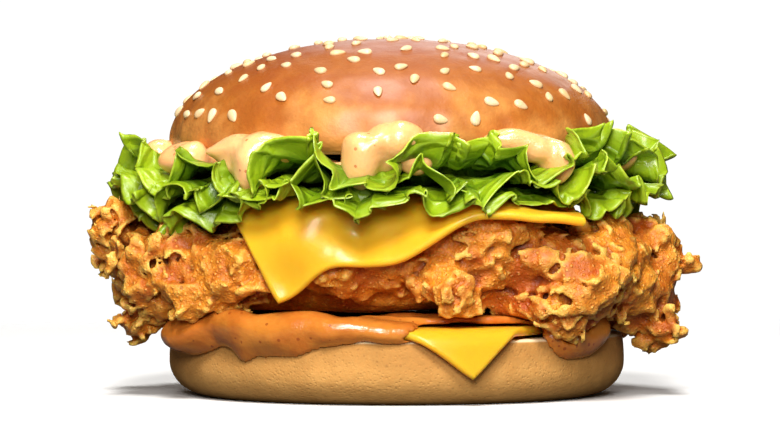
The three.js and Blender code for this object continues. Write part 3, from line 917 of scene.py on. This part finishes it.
# Tiers of leaf, the lowest first: the level and its changes and the height of the folds in mm,
# then what turns the margin up or down, in radians
TIERS = [
    {"level": 51, "rise": 0, "inner": 0.5, "beside": 2.4, "fold": 3.0,
     "rest": -0.22, "lift": 0.15, "press": 0.3, "front": -0.15, "sides": -0.5, "ruffle": 0.4,
     "peak": 0, "dip": 1},
    {"level": 52.6, "rise": 0.9, "inner": -0.4, "beside": 1.4, "fold": 4.2,
     "rest": 0.08, "lift": 0.4, "press": 0.36, "front": -0.3, "sides": -0.2, "ruffle": 0.6,
     "peak": 0.35, "dip": 0.6},
    {"level": 54.2, "rise": 1.8, "inner": -1.3, "beside": 0.6, "fold": 4.4,
     "rest": 0.5, "lift": 0.85, "press": 0.85, "front": -0.15, "sides": 0, "ruffle": 0.75,
     "peak": 1, "dip": 0},
]

# Waves along the margin, broad to fine: how many go round the burger, and how far they wander
FOLD = {"count": 16, "wander": 2.6}
CRIMP = {"count": 40, "wander": 2.6, "height": 3.3}
FRIZZ = {"count": 90, "wander": 3.0, "height": 0.9}

# Where the leaves stand up against the dome: angle round the burger, width and how far
PEAKS = [(-0.27, 0.1, 0.6), (0.24, 0.16, 0.9), (0.86, 0.14, 0.6), (-0.8, 0.06, 0.5),
         (0.03, 0.06, -0.5)]

# Where the lower leaves hang down over the cheese, and where they part above it
DIPS = [(-0.12, 0.09, -0.45), (0.26, 0.12, -0.3), (0.55, 0.12, -0.3), (-0.95, 0.16, -0.3),
        (-0.72, 0.12, -0.35), (0.06, 0.06, 0.35), (-0.4, 0.16, 0.6), (0.88, 0.14, -0.35)]

# Leaves: tier, the angle of the middle, the span, and how far the frill reaches
LEAVES = [
    {"node": "lettuce_lower_front", "tier": 0, "middle": -0.2, "span": 3.0, "reach": 0.92},
    {"node": "lettuce_lower_back", "tier": 0, "middle": 2.95, "span": 3.0, "reach": 0.85},
    {"node": "lettuce_middle_left", "tier": 1, "middle": -1.45, "span": 3.0, "reach": 1},
    {"node": "lettuce_middle_right", "tier": 1, "middle": 1.5, "span": 2.96, "reach": 1},
    {"node": "lettuce_upper_left", "tier": 2, "middle": -0.735, "span": 2.14, "reach": 1},
    {"node": "lettuce_upper_right", "tier": 2, "middle": 1.35, "span": 2.22, "reach": 1},
    {"node": "lettuce_upper_back", "tier": 2, "middle": -2.81, "span": 2.16, "reach": 1},
]


def pressed_by_sauce(round_):
    """1 where a tongue of sauce lies on the leaves and 0 between the tongues."""
    tongues = [near(t["round"], round_, (t["half"] + 2) / TONGUE_RIM) for t in TONGUES]
    return np.minimum(sum(tongues), 1)


def frill_turn(tier, round_):
    """How far the margin of a tier turns up at an angle round the burger, in radians."""
    ruffle = 0.34 * np.sin(14 * round_ + 0.6) + 0.24 * np.sin(9 * round_ + 2.1)
    front = near(-0.2, round_, 0.62)
    sides = near(1.3, round_, 0.28) + 0.9 * near(-1.05, round_, 0.42)
    sides = sides + 0.6 * near(math.pi, round_, 0.6)
    lift = 1.1 - 2.3 * pressed_by_sauce(round_)
    turn = tier["rest"] + tier["lift"] * np.maximum(lift, 0)
    turn = turn + tier["press"] * np.minimum(lift, 0)
    turn = turn + tier["peak"] * sum(up * near(at, round_, wide) for at, wide, up in PEAKS)
    turn = turn + tier["dip"] * sum(up * near(at, round_, wide) for at, wide, up in DIPS)
    return turn + tier["front"] * front + tier["sides"] * sides + tier["ruffle"] * ruffle


def beside_slice(round_, along):
    """From 0 over the upper slice to 1 where the leaf sinks beside it onto the fillet."""
    angle = UPPER_CHEESE["turn"] + math.pi / 4
    x = along * np.sin(round_) - UPPER_CHEESE["x"]
    y = -along * np.cos(round_) - UPPER_CHEESE["y"]
    p = x * math.cos(angle) + y * math.sin(angle)
    q = y * math.cos(angle) - x * math.sin(angle)
    return smooth(np.maximum(np.abs(p), np.abs(q)), 42, 49)


def leaf_base(leaf, side, v):
    """The leaf before its fine folds: side from -1 to 1 across it, v from 0 to 1 outwards."""
    round_ = leaf["middle"] + side * leaf["span"] / 2
    taper = np.sqrt(1 - 0.75 * np.minimum(np.abs(side), 1) ** 6)
    frill = LEAF["frill"] * leaf["reach"] * taper
    along = LEAF["inner"] + v * (LEAF["bend"] - LEAF["inner"] + frill)
    tier = TIERS[leaf["tier"]]
    level = tier["level"] + tier["rise"] * smooth(along, 40, LEAF["bend"])
    level = level + tier["inner"] * smooth(LEAF["bend"] - along, 0, 8)
    level = level - tier["beside"] * beside_slice(round_, along) * smooth(along, 14, 24)
    past = np.maximum(along - LEAF["bend"], 0)
    share = past / frill
    full = frill_turn(tier, round_)
    full = np.where(np.abs(full) < 1e-3, 1e-3, full)
    curl = frill / full * (1 - np.cos(full * share))
    out = frill / full * np.sin(full * share)
    grid = around(round_, np.minimum(along, LEAF["bend"]) + out, level + curl)
    return grid, round_, along, share


def leaf_form(leaf, number):
    """A leaf with its big folds, small crimps, fine frizz, blisters and torn margin."""
    columns = int(leaf["span"] * 64 / 0.56)
    outer = np.linspace(0.72, 1, 34)
    v = np.concatenate([[0, 0.2, 0.4, 0.55, 0.65], outer])[:, None]
    side = np.linspace(-1, 1, columns)[None, :]
    grid, round_, along, share = leaf_base(leaf, *np.broadcast_arrays(side, v))
    stream = 60 + 5 * number
    line = np.stack([round_ * 60, 0 * round_, 0 * round_ + 40 * number], axis=-1)
    drift = rough(line, 17, stream)
    free = 1 - 0.6 * pressed_by_sauce(round_)
    fold = FOLD["count"] * round_ + FOLD["wander"] * drift + number
    crimp = CRIMP["count"] * round_ + CRIMP["wander"] * rough(line, 12, stream + 1) + 2.0 * number
    frizz = FRIZZ["count"] * round_ + FRIZZ["wander"] * rough(line, 9, stream + 2)
    across = unit(np.gradient(grid, axis=1))
    out = normals_of(grid)
    ends = smooth(1 - np.abs(side), 0, 0.06)
    big = TIERS[leaf["tier"]]["fold"] * share**1.2 * free * ends
    small = CRIMP["height"] * share**1.5 * ends * (0.5 + 0.5 * free)
    tiny = FRIZZ["height"] * share**4 * ends
    rise = big * np.sin(fold) + small * np.sin(crimp) + tiny * np.sin(frizz)
    sway = 0.75 * big * np.sin(2 * fold + 0.7) + 0.6 * small * np.sin(2 * crimp)
    blister = 1.1 * rough(grid, 8, stream + 3) + 0.75 * rough(grid, 3.4, stream + 4)
    rise = rise + blister * smooth(along, 44, 56)
    grid = grid + out * rise[..., None] + across * sway[..., None] * 0.75
    inner = smooth(along, 12, 24) * smooth(56 - along, 0, 8)
    grid[..., 2] += 1.5 * inner * rough(grid * [1, 1, 0], 11, stream)
    outward = unit(np.gradient(grid, axis=0))
    teeth = 1.0 * rough(line, 4, stream + 4) + 0.5 * rough(line, 1.5, stream + 6) + 1.6 * drift
    grid = grid + outward * (share**6 * teeth * ends)[..., None]
    thickness = LEAF["thick"] * (1 - 0.35 * share)
    points, faces, origin = thin_solid(grid, thickness)
    flat = np.stack([along, round_ * 56 + 300 * number, 0 * along], axis=-1)
    marks = {
        "margin": share.ravel()[origin],
        "leaf_place": flat.reshape(-1, 3)[origin],
    }
    return points, faces, marks


def lifted(leaf_points, points, faces):
    """Leaf points, those sunk in the slice under them raised to lie on it."""
    slice_ = BVHTree.FromPolygons(points.tolist(), faces.tolist())
    down = Vector((0, 0, -1))
    above, deepest, clear, blend = 60, -12, 0.9, 2
    low = leaf_points[:, 2] < UPPER_CHEESE["level"] + 3
    for number in np.flatnonzero(low):
        x, y, z = leaf_points[number]
        hit = slice_.ray_cast(Vector((x, y, above)), down)[0]
        if hit is not None and deepest < z - hit.z < blend:
            leaf_points[number, 2] = -soft_min(-z, -hit.z - clear, blend)
    return leaf_points


def lettuce_leaf():
    """Wet leaf with a net of veins, yellow-green at its torn margin, with painted shade that
    darkens it inwards, under the dome and the tiers above.
    """
    material, tree, shader, place, patches = start_material("lettuce_leaf", 0.012)
    margin = mark(tree, "margin")
    flat = mark(tree, "leaf_place", "Vector")
    from_vein = cells_of(tree, flat, 0.24, "DISTANCE_TO_EDGE")["Distance"]
    vein = share_of(tree, from_vein, 0.07, 0.0)
    inner = blend_colours(tree, patches["Patches"], tint(70, 112, 4), tint(140, 168, 18))
    edge = share_of(tree, margin, 0.5, 0.95)
    colour = laid_over(tree, inner, edge, 0.55, tint(162, 186, 26))
    lip = calculate(tree, "MULTIPLY", share_of(tree, margin, 0.95, 1.0), patches["Fine"])
    colour = blend_colours(tree, lip, colour, tint(184, 204, 56))
    # Painted shade: the leaf darkens inwards from its frill, where it runs in under the dome and
    # the tiers above.
    deep = share_of(tree, margin, 0.55, 0.1)
    colour = laid_over(tree, colour, deep, 0.55, tint(40, 80, 4))
    colour = laid_over(tree, colour, vein, 0.3, tint(160, 190, 70))
    finish_surface(tree, shader, colour, 0.36, (0.2, (0.001, 0.0018, 0.0003)), {
        "Coat Weight": 0.15, "Coat Roughness": 0.15,
    })
    under = add_bump(tree, shader, share_of(tree, from_vein, 0.0, 0.3), 0.0007, 0.8)
    add_grain(tree, shader, place, 0.0018, 0.2, 0.0003, 0.7, under)
    return material


def build_lettuce(material, cheese):
    """All the leaves, laid on the upper slice."""
    leaves = []
    for number, leaf in enumerate(LEAVES):
        points, faces, marks = leaf_form(leaf, number)
        points = lifted(points, *cheese)
        name = leaf["node"].replace("lettuce", "leaf")
        make_piece(name, points, faces, leaf["node"], "lettuce", material, marks)
        leaves.append((points, faces))
    return leaves


# Sauces: smooth pools that run out over the rim

def pool(lattice, levels):
    """A round disc of sauce with a rounded rim."""
    x, y, z = lattice.axes()
    middle = (levels["bottom"] + levels["top"]) / 2
    half = (levels["top"] - levels["bottom"]) / 2
    radial = np.maximum(np.hypot(x, y) - (SAUCE_RADIUS - half), 0)
    return np.hypot(radial, np.maximum(np.abs(z - middle) - half / 2, 0)) - half / 2


def add_drop(lattice, field, round_, radius, wide, deep, top, low, blend):
    """Joins a squashed ball of sauce, wide round the burger and deep outwards."""
    centre = around(round_, radius, (top + low) / 2)
    high = (top - low) / 2
    cut, (x, y, z) = lattice.block(centre, max(wide, deep, high) + 4)
    across = x * math.cos(round_) + y * math.sin(round_)
    out = x * math.sin(round_) - y * math.cos(round_)
    k0 = np.sqrt((across / wide) ** 2 + (out / deep) ** 2 + (z / high) ** 2)
    k1 = np.sqrt((across / wide**2) ** 2 + (out / deep**2) ** 2 + (z / high**2) ** 2)
    distance = k0 * (k0 - 1) / np.maximum(k1, 1e-6)
    field[cut] = soft_min(field[cut], distance, blend)


def flowing(lattice, field, strength, stream):
    """Bends a form with slow noise, so that nothing in it is a plain oval."""
    x, y, z = lattice.axes()
    waves = [strength * lattice.noise(13, stream + k) for k in range(3)]
    points = np.stack([x + waves[0], y + waves[1], z + 0.6 * waves[2]], axis=-1)
    return lattice.sample(field, points.reshape(-1, 3)).reshape(lattice.shape)


def upper_sauce_form(dome):
    """Pale sauce: a disc with lobed tongues and drips, kept clear of the dome."""
    lattice = Lattice([-70, -70, 46], [70, 70, 69], SAUCE_PITCH)
    field = pool(lattice, UPPER_SAUCE)
    for number, tongue in enumerate(TONGUES):
        round_, half, top, low = (tongue[key] for key in ("round", "half", "top", "low"))
        high = top - low
        add_drop(lattice, field, round_, 54.5, 0.75 * half, 6.5, top - 0.8, low + 0.2 * high, 3)
        for k in range(8):
            lobe = number * 8 + k
            aside = 0.8 * half / TONGUE_RIM * (2 * draw(lobe, 3) - 1)
            up = top + 0.5 - high * 0.45 * draw(lobe, 4)
            down = low + high * (0.55 * draw(lobe, 5) - 0.05)
            wide = 2.2 + 3 * draw(lobe, 6)
            add_drop(lattice, field, round_ + aside, 56.5 + 2.5 * draw(lobe, 8), wide,
                     4.2, up, min(down, up - 3), 1.6)
        if "drip" in tongue:
            round_, half, low = tongue["drip"]
            add_drop(lattice, field, round_, 61, half, 4.2, 61, low, 3)
    field = flowing(lattice, field, 4, 81)
    field += 0.5 * lattice.noise(5, 85) + 0.3 * lattice.noise(2.4, 86)
    field = np.maximum(field, 0.3 - lattice.distance(*dome, 2))
    return simplified(*largest_part(*lattice.surface(field)), TRIANGLES["upper_sauce"])


# Drips of the lower sauce: angle, half the width and lowest level, and for some how deep
# they are outwards, their top, and that they are one plain drop without lobes
DRIPS = [
    {"round": -1.04, "wide": 13, "low": 11.5, "deep": 10},
    {"round": -0.85, "wide": 10, "low": 13.5},
    {"round": -0.5, "wide": 15, "low": 11},
    {"round": -0.12, "wide": 12, "low": 14.5, "top": 21},
    {"round": 0.86, "wide": 13, "low": 8.6, "plain": True},
    {"round": 1.9, "wide": 12, "low": 13},
    {"round": 2.25, "wide": 7, "low": 15},
    {"round": 2.6, "wide": 14, "low": 11.5},
    {"round": 3.02, "wide": 10, "low": 15.6},
    {"round": -2.7, "wide": 13, "low": 13.5},
    {"round": -2.33, "wide": 8, "low": 15.4},
    {"round": -1.95, "wide": 12, "low": 12.5},
]


def lower_sauce_form(cutters):
    """Orange sauce: a disc with lobed drips over the rim, kept clear of what touches it."""
    lattice = Lattice([-66, -66, 8], [66, 66, 25], SAUCE_PITCH)
    field = pool(lattice, LOWER_SAUCE)
    for number, drip in enumerate(DRIPS):
        wide, low = drip["wide"], drip["low"]
        top = drip.get("top", LOWER_SAUCE["top"] + 1.4)
        add_drop(lattice, field, drip["round"], BASE["radius"] - 2.8, 0.85 * wide,
                 drip.get("deep", 5.2), top, low + 1.2, 3)
        lobes = 0 if "plain" in drip else 7
        for k in range(lobes):
            lobe = number * 7 + k
            aside = wide / BASE["radius"] * (2 * draw(lobe, 13) - 1)
            down = low + (top - low) * (0.5 * draw(lobe, 14) - 0.06)
            out = BASE["radius"] - 1.6 + 1.3 * draw(lobe, 15)
            add_drop(lattice, field, drip["round"] + aside, out, 3.4 + 3.4 * draw(lobe, 16), 3.2,
                     top - 1.5 * draw(lobe, 17), min(down, top - 4), 2.2)
    field = flowing(lattice, field, 3, 91)
    field += 0.6 * lattice.noise(6, 95) + 0.4 * lattice.noise(2.8, 96)
    for points, faces in cutters:
        field = np.maximum(field, 0.25 - lattice.distance(points - LOWER_SHIFT, faces, 2))
    points, faces = simplified(*largest_part(*lattice.surface(field)), TRIANGLES["lower_sauce"])
    return points + LOWER_SHIFT, faces


def sauce(name, body, shade, speck):
    """Glossy sauce with specks of spice."""
    material, tree, shader, place, patches = start_material(name, 0.012)
    colour = laid_over(tree, body, patches["Patches"], 0.6, shade)
    specks = use_group(tree, SPECKS, {"Place": place, "Size": 0.0015, "Share": 0.1})
    colour = laid_over(tree, colour, specks["Mask"], 0.6, speck)
    finish_surface(tree, shader, colour, 0.22, (0.25, (0.003, 0.0016, 0.0007)), {
        "Coat Weight": 0.4, "Coat Roughness": 0.08,
    })
    add_grain(tree, shader, place, 0.0022, 0.0, 0.0004, 0.7)
    return material


# Fried fillet: the plain solid grown over with lumps, pits and curled flakes of crust

def surface_places(points, faces, count, random):
    """Random places spread evenly over a mesh, with the normals there."""
    a, b, c = (points[faces[:, k]] for k in range(3))
    normal = np.cross(b - a, c - a)
    area = np.linalg.norm(normal, axis=1)
    chosen = random.choice(len(faces), count, p=area / area.sum())
    first = np.sqrt(random.random(count))[:, None]
    second = random.random(count)[:, None]
    place = (1 - first) * a[chosen] + first * (1 - second) * b[chosen]
    place = place + first * second * c[chosen]
    return place, normal[chosen] / area[chosen][:, None]


def add_ball(lattice, field, centre, radius, blend, side):
    """Joins a ball to the crust where side is 1, and takes it out where side is -1."""
    cut, (x, y, z) = lattice.block(centre, radius + 2)
    ball = np.sqrt(x**2 + y**2 + z**2) - radius
    field[cut] = side * soft_min(side * field[cut], ball, blend)


def towards_rim(x, y):
    """From 0 at the middle of the fillet to 1 near its rim."""
    return np.hypot(x / FILLET["half_long"], y / FILLET["half_deep"])


# Layers of crust over the meat, deepest first: how far out each stands, how thick it is,
# the size of its ragged patches and how much it covers
CRUST_LAYERS = [
    {"out": -1.5, "thick": 2.8, "patch": 16, "cover": 0.3, "stream": 200},
    {"out": 0.0, "thick": 2.0, "patch": 13, "cover": 0.05, "stream": 220},
    {"out": 1.0, "thick": 1.6, "patch": 9, "cover": -0.15, "stream": 240},
]


def flaky(lattice, base, rim):
    """The fillet's distances with its skin broken into flakes that stand at all heights."""
    near_skin = (np.abs(base) < 6) & (rim > 0)
    near_skin = np.broadcast_to(near_skin, lattice.shape)
    at = lattice.places(near_skin) + 1.5 * lattice.drift(3.2, 140, near_skin)
    rise = 1.7 * plates(at, 9.5, 151) + 0.9 * plates(at, 4.6, 152)
    flakes = np.zeros(lattice.shape, np.float32)
    flakes[near_skin] = rise
    return base - flakes * rim, flakes


def crust_field(lattice, base, rim):
    """The fillet's distances with ragged layers of crust grown over it."""
    field = base + rim * (1.9 + 1.2 * lattice.noise(13, 101) + 0.8 * lattice.noise(6, 102))
    ends = 2.4 * smooth(np.abs(lattice.axes()[0]), 64, 74)
    for layer in CRUST_LAYERS:
        size = layer["patch"]
        stream = layer["stream"]
        patch = lattice.noise(size, stream) + 0.4 * lattice.noise(0.45 * size, stream + 1)
        patch += 0.1 * lattice.noise(1.9, stream + 2) + layer["cover"]
        out = layer["out"] - ends + 1.1 * lattice.noise(10, stream + 3)
        out = out + 1.5 * (1 - smooth(patch, 0, 0.5))
        half = layer["thick"] / 2 * (0.35 + 0.65 * smooth(patch, -0.05, 0.45))
        sheet = np.maximum(np.abs(base - out) - half, -2.6 * patch)
        field = soft_min(field, sheet + 5 * (1 - rim), 0.7)
    add_crumbs(lattice, field)
    return field


def add_crumbs(lattice, field):
    """Small crumbs scattered over the crust, and pits where some have gone."""
    points, faces = solid_of_node("chicken")
    random = np.random.default_rng(7)
    place, normal = surface_places(points, faces, CRUMBS["tried"], random)
    outer = towards_rim(place[:, 0], place[:, 1]) > 0.78
    places = zip(place[outer], normal[outer], random.random((outer.sum(), 3)))
    for here, out, (big, pick, deep) in places:
        radius = 0.7 + 1.1 * big * big
        centre = here + out * (2.5 * deep - 2.2)
        if pick < CRUMBS["kept_share"]:
            add_ball(lattice, field, centre, radius, CRUMBS["blend"], 1)
        else:
            add_ball(lattice, field, centre + out, radius, CRUMBS["pit_blend"], -1)


def crust_form(neighbours):
    """The dressed fillet, pressed smooth where a neighbour touches it, and its marks."""
    lattice = Lattice([-76, -62, 10], [82, 62, 53], CRUST_PITCH)
    points, faces = solid_of_node("chicken")
    base = lattice.distance(points, faces, 7)
    rim = smooth(towards_rim(*lattice.axes()[:2]), 0.62, 0.86)
    broken, flakes = flaky(lattice, base, rim)
    field = crust_field(lattice, broken, rim)
    band = np.abs(field) < 3.5
    shift = 1.6 * lattice.drift(6.5, 110, band) + 0.9 * lattice.drift(2.6, 120, band)
    shift = shift * rim.repeat(lattice.shape[2], 2)[band][:, None]
    field[band] = lattice.sample(field, lattice.places(band) + shift)
    crumbly = 0.4 - 1.1 * np.abs(lattice.noise(3, 130)) + 0.4 * lattice.noise(1.4, 131)
    field += crumbly * rim
    clear = np.full(lattice.shape, 6, np.float32)
    for other_points, other_faces in neighbours:
        clear = np.minimum(clear, lattice.distance(other_points, other_faces, 6))
    field = np.maximum(field, base - 0.4 - 5 * smooth(clear, 0.3, 4))
    field = np.maximum(field, 0.25 - clear)
    points, faces = simplified(*largest_part(*lattice.surface(field)), TRIANGLES["fillet"])
    # The cavity, hollow and height marks feed the painted shade and painted light of the crust's
    # colour.
    marks = {
        "cavity": lattice.sample(softened(field < 0, 4), points),
        "hollow": lattice.sample(softened(field < 0, 1), points),
        "height": lattice.sample(base, points),
        "flake": lattice.sample(flakes, points),
    }
    return points, faces, marks


def softened(solid, reach):
    """The share of a form within reach steps along each axis, twice over."""
    share = solid.astype(np.float32)
    for _ in range(2):
        for axis in range(3):
            padded = np.pad(share, [(reach + 1, reach) if k == axis else (0, 0) for k in range(3)],
                            mode="edge")
            total = np.cumsum(padded, axis=axis, dtype=np.float64)
            width = 2 * reach + 1
            later = np.take(total, np.arange(width, total.shape[axis]), axis=axis)
            sooner = np.take(total, np.arange(0, total.shape[axis] - width), axis=axis)
            share = ((later - sooner) / width).astype(np.float32)
    return share


def fried_crust():
    """Oily crust: golden flakes and crumbs, with painted shade that browns its hollows and creases
    and painted light on its thin tips.
    """
    material, tree, shader, place, patches = start_material("fried_crust", 0.016)
    hollow = mark(tree, "hollow")
    flakes = share_of(tree, mark(tree, "flake"), -1.2, 1.6)
    golden = calculate(tree, "MULTIPLY_ADD", patches["Patches"], 0.5, flakes)
    colour = blend_colours(tree, golden, tint(184, 80, 14), tint(238, 150, 42))
    # Painted shade: darker reddish brown where the surface sinks below the fillet's skin, in the
    # recesses.
    deep = share_of(tree, mark(tree, "height"), -0.8, -3.2)
    colour = laid_over(tree, colour, deep, 0.75, tint(168, 76, 12))
    grain = use_group(tree, GRAIN, {"Place": place, "Size": 0.0013, "Pits": -0.6})
    # Paler on the tops of the fine grain: partly the crumbs' own paler colour, partly painted
    # light.
    crumbs = share_of(tree, grain["Height"], 0.15, 0.5)
    thick = calculate(tree, "MULTIPLY_ADD", patches["Fine"], 0.4, 0.2)
    colour = laid_over(tree, colour, crumbs, thick, tint(255, 204, 104))
    # Painted shade: darker in the low gaps between the fine grains.
    between = share_of(tree, grain["Height"], 0.05, -0.15)
    colour = laid_over(tree, colour, between, 0.35, tint(146, 60, 12))
    # Paler where the crust is thin and stands free: partly the crust's own colour, partly painted
    # light.
    tips = share_of(tree, hollow, 0.5, 0.26)
    colour = laid_over(tree, colour, tips, 0.75, tint(255, 202, 96))
    # Painted shade: darker where much of the crust lies close around, as in its hollows.
    shaded = share_of(tree, mark(tree, "cavity"), 0.5, 0.74)
    colour = laid_over(tree, colour, shaded, 0.85, tint(120, 46, 12))
    # Painted shade: darker still in the narrow creases.
    creases = share_of(tree, hollow, 0.58, 0.82)
    colour = laid_over(tree, colour, creases, 0.7, tint(104, 40, 10))
    pepper = use_group(tree, SPECKS, {"Place": place, "Size": 0.004, "Share": 0.08})
    colour = laid_over(tree, colour, pepper["Mask"], 0.45, tint(90, 42, 18))
    oily = spread_over(tree, patches["Fine"], 0.28, 0.48)
    finish_surface(tree, shader, colour, oily, (0.3, (0.0026, 0.001, 0.0003)), {
        "Coat Weight": 0.06, "Coat Roughness": 0.2, "Specular IOR Level": 0.4,
    })
    under = add_bump(tree, shader, grain["Height"], 0.0006, 0.8)
    add_grain(tree, shader, place, 0.0007, -0.4, 0.0003, 0.8, under)
    return material


# Floor, light and camera

FLOOR = {"radius": 0.9, "fade_from": 0.22, "fade_to": 0.6}

# Lamps: name, place, diameter, power and colour
LAMPS = [
    ("key_light", (-0.02, -0.54, 0.49), 0.22, 5.6, (1, 0.98, 0.95)),
    ("front_light", (-0.03, -0.8, 0.26), 0.25, 4.6, (1, 0.97, 0.93)),
    ("top_light", (-0.02, 0.02, 0.8), 0.2, 3.6, (1, 0.99, 0.97)),
    ("back_light", (0.1, 0.7, 0.4), 0.4, 0.9, (1, 0.99, 0.97)),
]
LIT_POINT = (0, 0, 0.045)

# The camera stands 850 mm off and takes in 195 mm of width at the burger
CAMERA = {"place": (-0.0024, -0.85, 0.05), "towards": (-0.0024, 0, 0.0436),
          "sensor": 36, "away": 850, "width": 195}


def build_floor():
    """A pale disc that fades into the white room."""
    bpy.ops.mesh.primitive_circle_add(vertices=96, radius=FLOOR["radius"], fill_type="NGON")
    floor = bpy.context.object
    floor.name = "studio_floor"
    material = bpy.data.materials.new("pale_paper")
    material.use_nodes = True
    tree = material.node_tree
    tree.nodes.remove(tree.nodes["Principled BSDF"])
    place = object_place(tree)
    away = add_node(tree, "ShaderNodeVectorMath", {"operation": "LENGTH"}, {0: place})
    grain = add_node(tree, "ShaderNodeTexNoise", None, {"Vector": place, "Scale": 400.0})
    seen = add_node(tree, "ShaderNodeLightPath").outputs["Is Camera Ray"]
    bounce = spread_over(tree, seen, 0.1, 1.1)
    bright = calculate(tree, "MULTIPLY_ADD", grain.outputs["Fac"], 0.04, bounce)
    paper = add_node(tree, "ShaderNodeBsdfDiffuse", None, {"Color": bright})
    clear = add_node(tree, "ShaderNodeBsdfTransparent")
    fade = share_of(tree, away.outputs["Value"], FLOOR["fade_from"], FLOOR["fade_to"])
    mixed = add_node(tree, "ShaderNodeMixShader", None, {
        0: fade, 1: paper.outputs["BSDF"], 2: clear.outputs["BSDF"],
    })
    tree.links.new(mixed.outputs["Shader"], tree.nodes["Material Output"].inputs["Surface"])
    floor.data.materials.append(material)


def aim(holder, target):
    towards = Vector(target) - holder.location
    holder.rotation_euler = towards.to_track_quat("-Z", "Y").to_euler()


def add_light(name, place, size, power, colour):
    lamp = bpy.data.lights.new(name, "AREA")
    lamp.shape = "DISK"
    lamp.size = size
    lamp.energy = power
    lamp.color = colour
    holder = bpy.data.objects.new(name, lamp)
    bpy.context.scene.collection.objects.link(holder)
    holder.location = place
    aim(holder, LIT_POINT)


def build_room():
    """A white room that looks bright and gives off only a little warm light."""
    world = bpy.data.worlds.new("white_studio")
    world.use_nodes = True
    tree = world.node_tree
    background = tree.nodes["Background"]
    seen = add_node(tree, "ShaderNodeLightPath").outputs["Is Camera Ray"]
    shade = blend_colours(tree, seen, (1, 0.82, 0.64, 1), (1, 1, 1, 1))
    tree.links.new(shade, background.inputs["Color"])
    tree.links.new(spread_over(tree, seen, 0.04, 1.05), background.inputs["Strength"])
    bpy.context.scene.world = world


def build_camera():
    lens = bpy.data.cameras.new("photo_camera")
    lens.sensor_width = CAMERA["sensor"]
    lens.lens = CAMERA["sensor"] * CAMERA["away"] / CAMERA["width"]
    holder = bpy.data.objects.new("photo_camera", lens)
    bpy.context.scene.collection.objects.link(holder)
    holder.location = CAMERA["place"]
    aim(holder, CAMERA["towards"])
    bpy.context.scene.camera = holder


def build_burger():
    """Every piece, in an order in which each finds the ones that it has to clear."""
    upper_cheese, lower_cheese = build_cheeses(melting_cheese())
    leaves = build_lettuce(lettuce_leaf(), upper_cheese[:2])
    base = bun_base_form(fine=False)
    build_bun_base()
    build_bun_top()
    neighbours = [upper_cheese[:2], lower_cheese[:2], base, *leaves]
    points, faces, marks = crust_form(neighbours)
    make_piece("fried_fillet", points, faces, "chicken", "chicken", fried_crust(), marks)
    under = lower_sauce_form([(points, faces), lower_cheese[:2], base])
    orange = sauce("orange_sauce", tint(206, 128, 46), tint(178, 90, 26), tint(130, 42, 12))
    make_piece("sauce_pool_lower", *under, "sauce_lower", "sauce_lower", orange)
    over = upper_sauce_form(solid_of_node("bun_top"))
    pale = sauce("pale_sauce", tint(247, 188, 126), tint(238, 168, 100), tint(180, 66, 26))
    make_piece("sauce_pool_upper", *over, "sauce_upper", "sauce_upper", pale)


build_floor()
for lamp in LAMPS:
    add_light(*lamp)
build_room()
build_camera()
build_burger()
bpy.context.scene.view_settings.view_transform = "Standard"
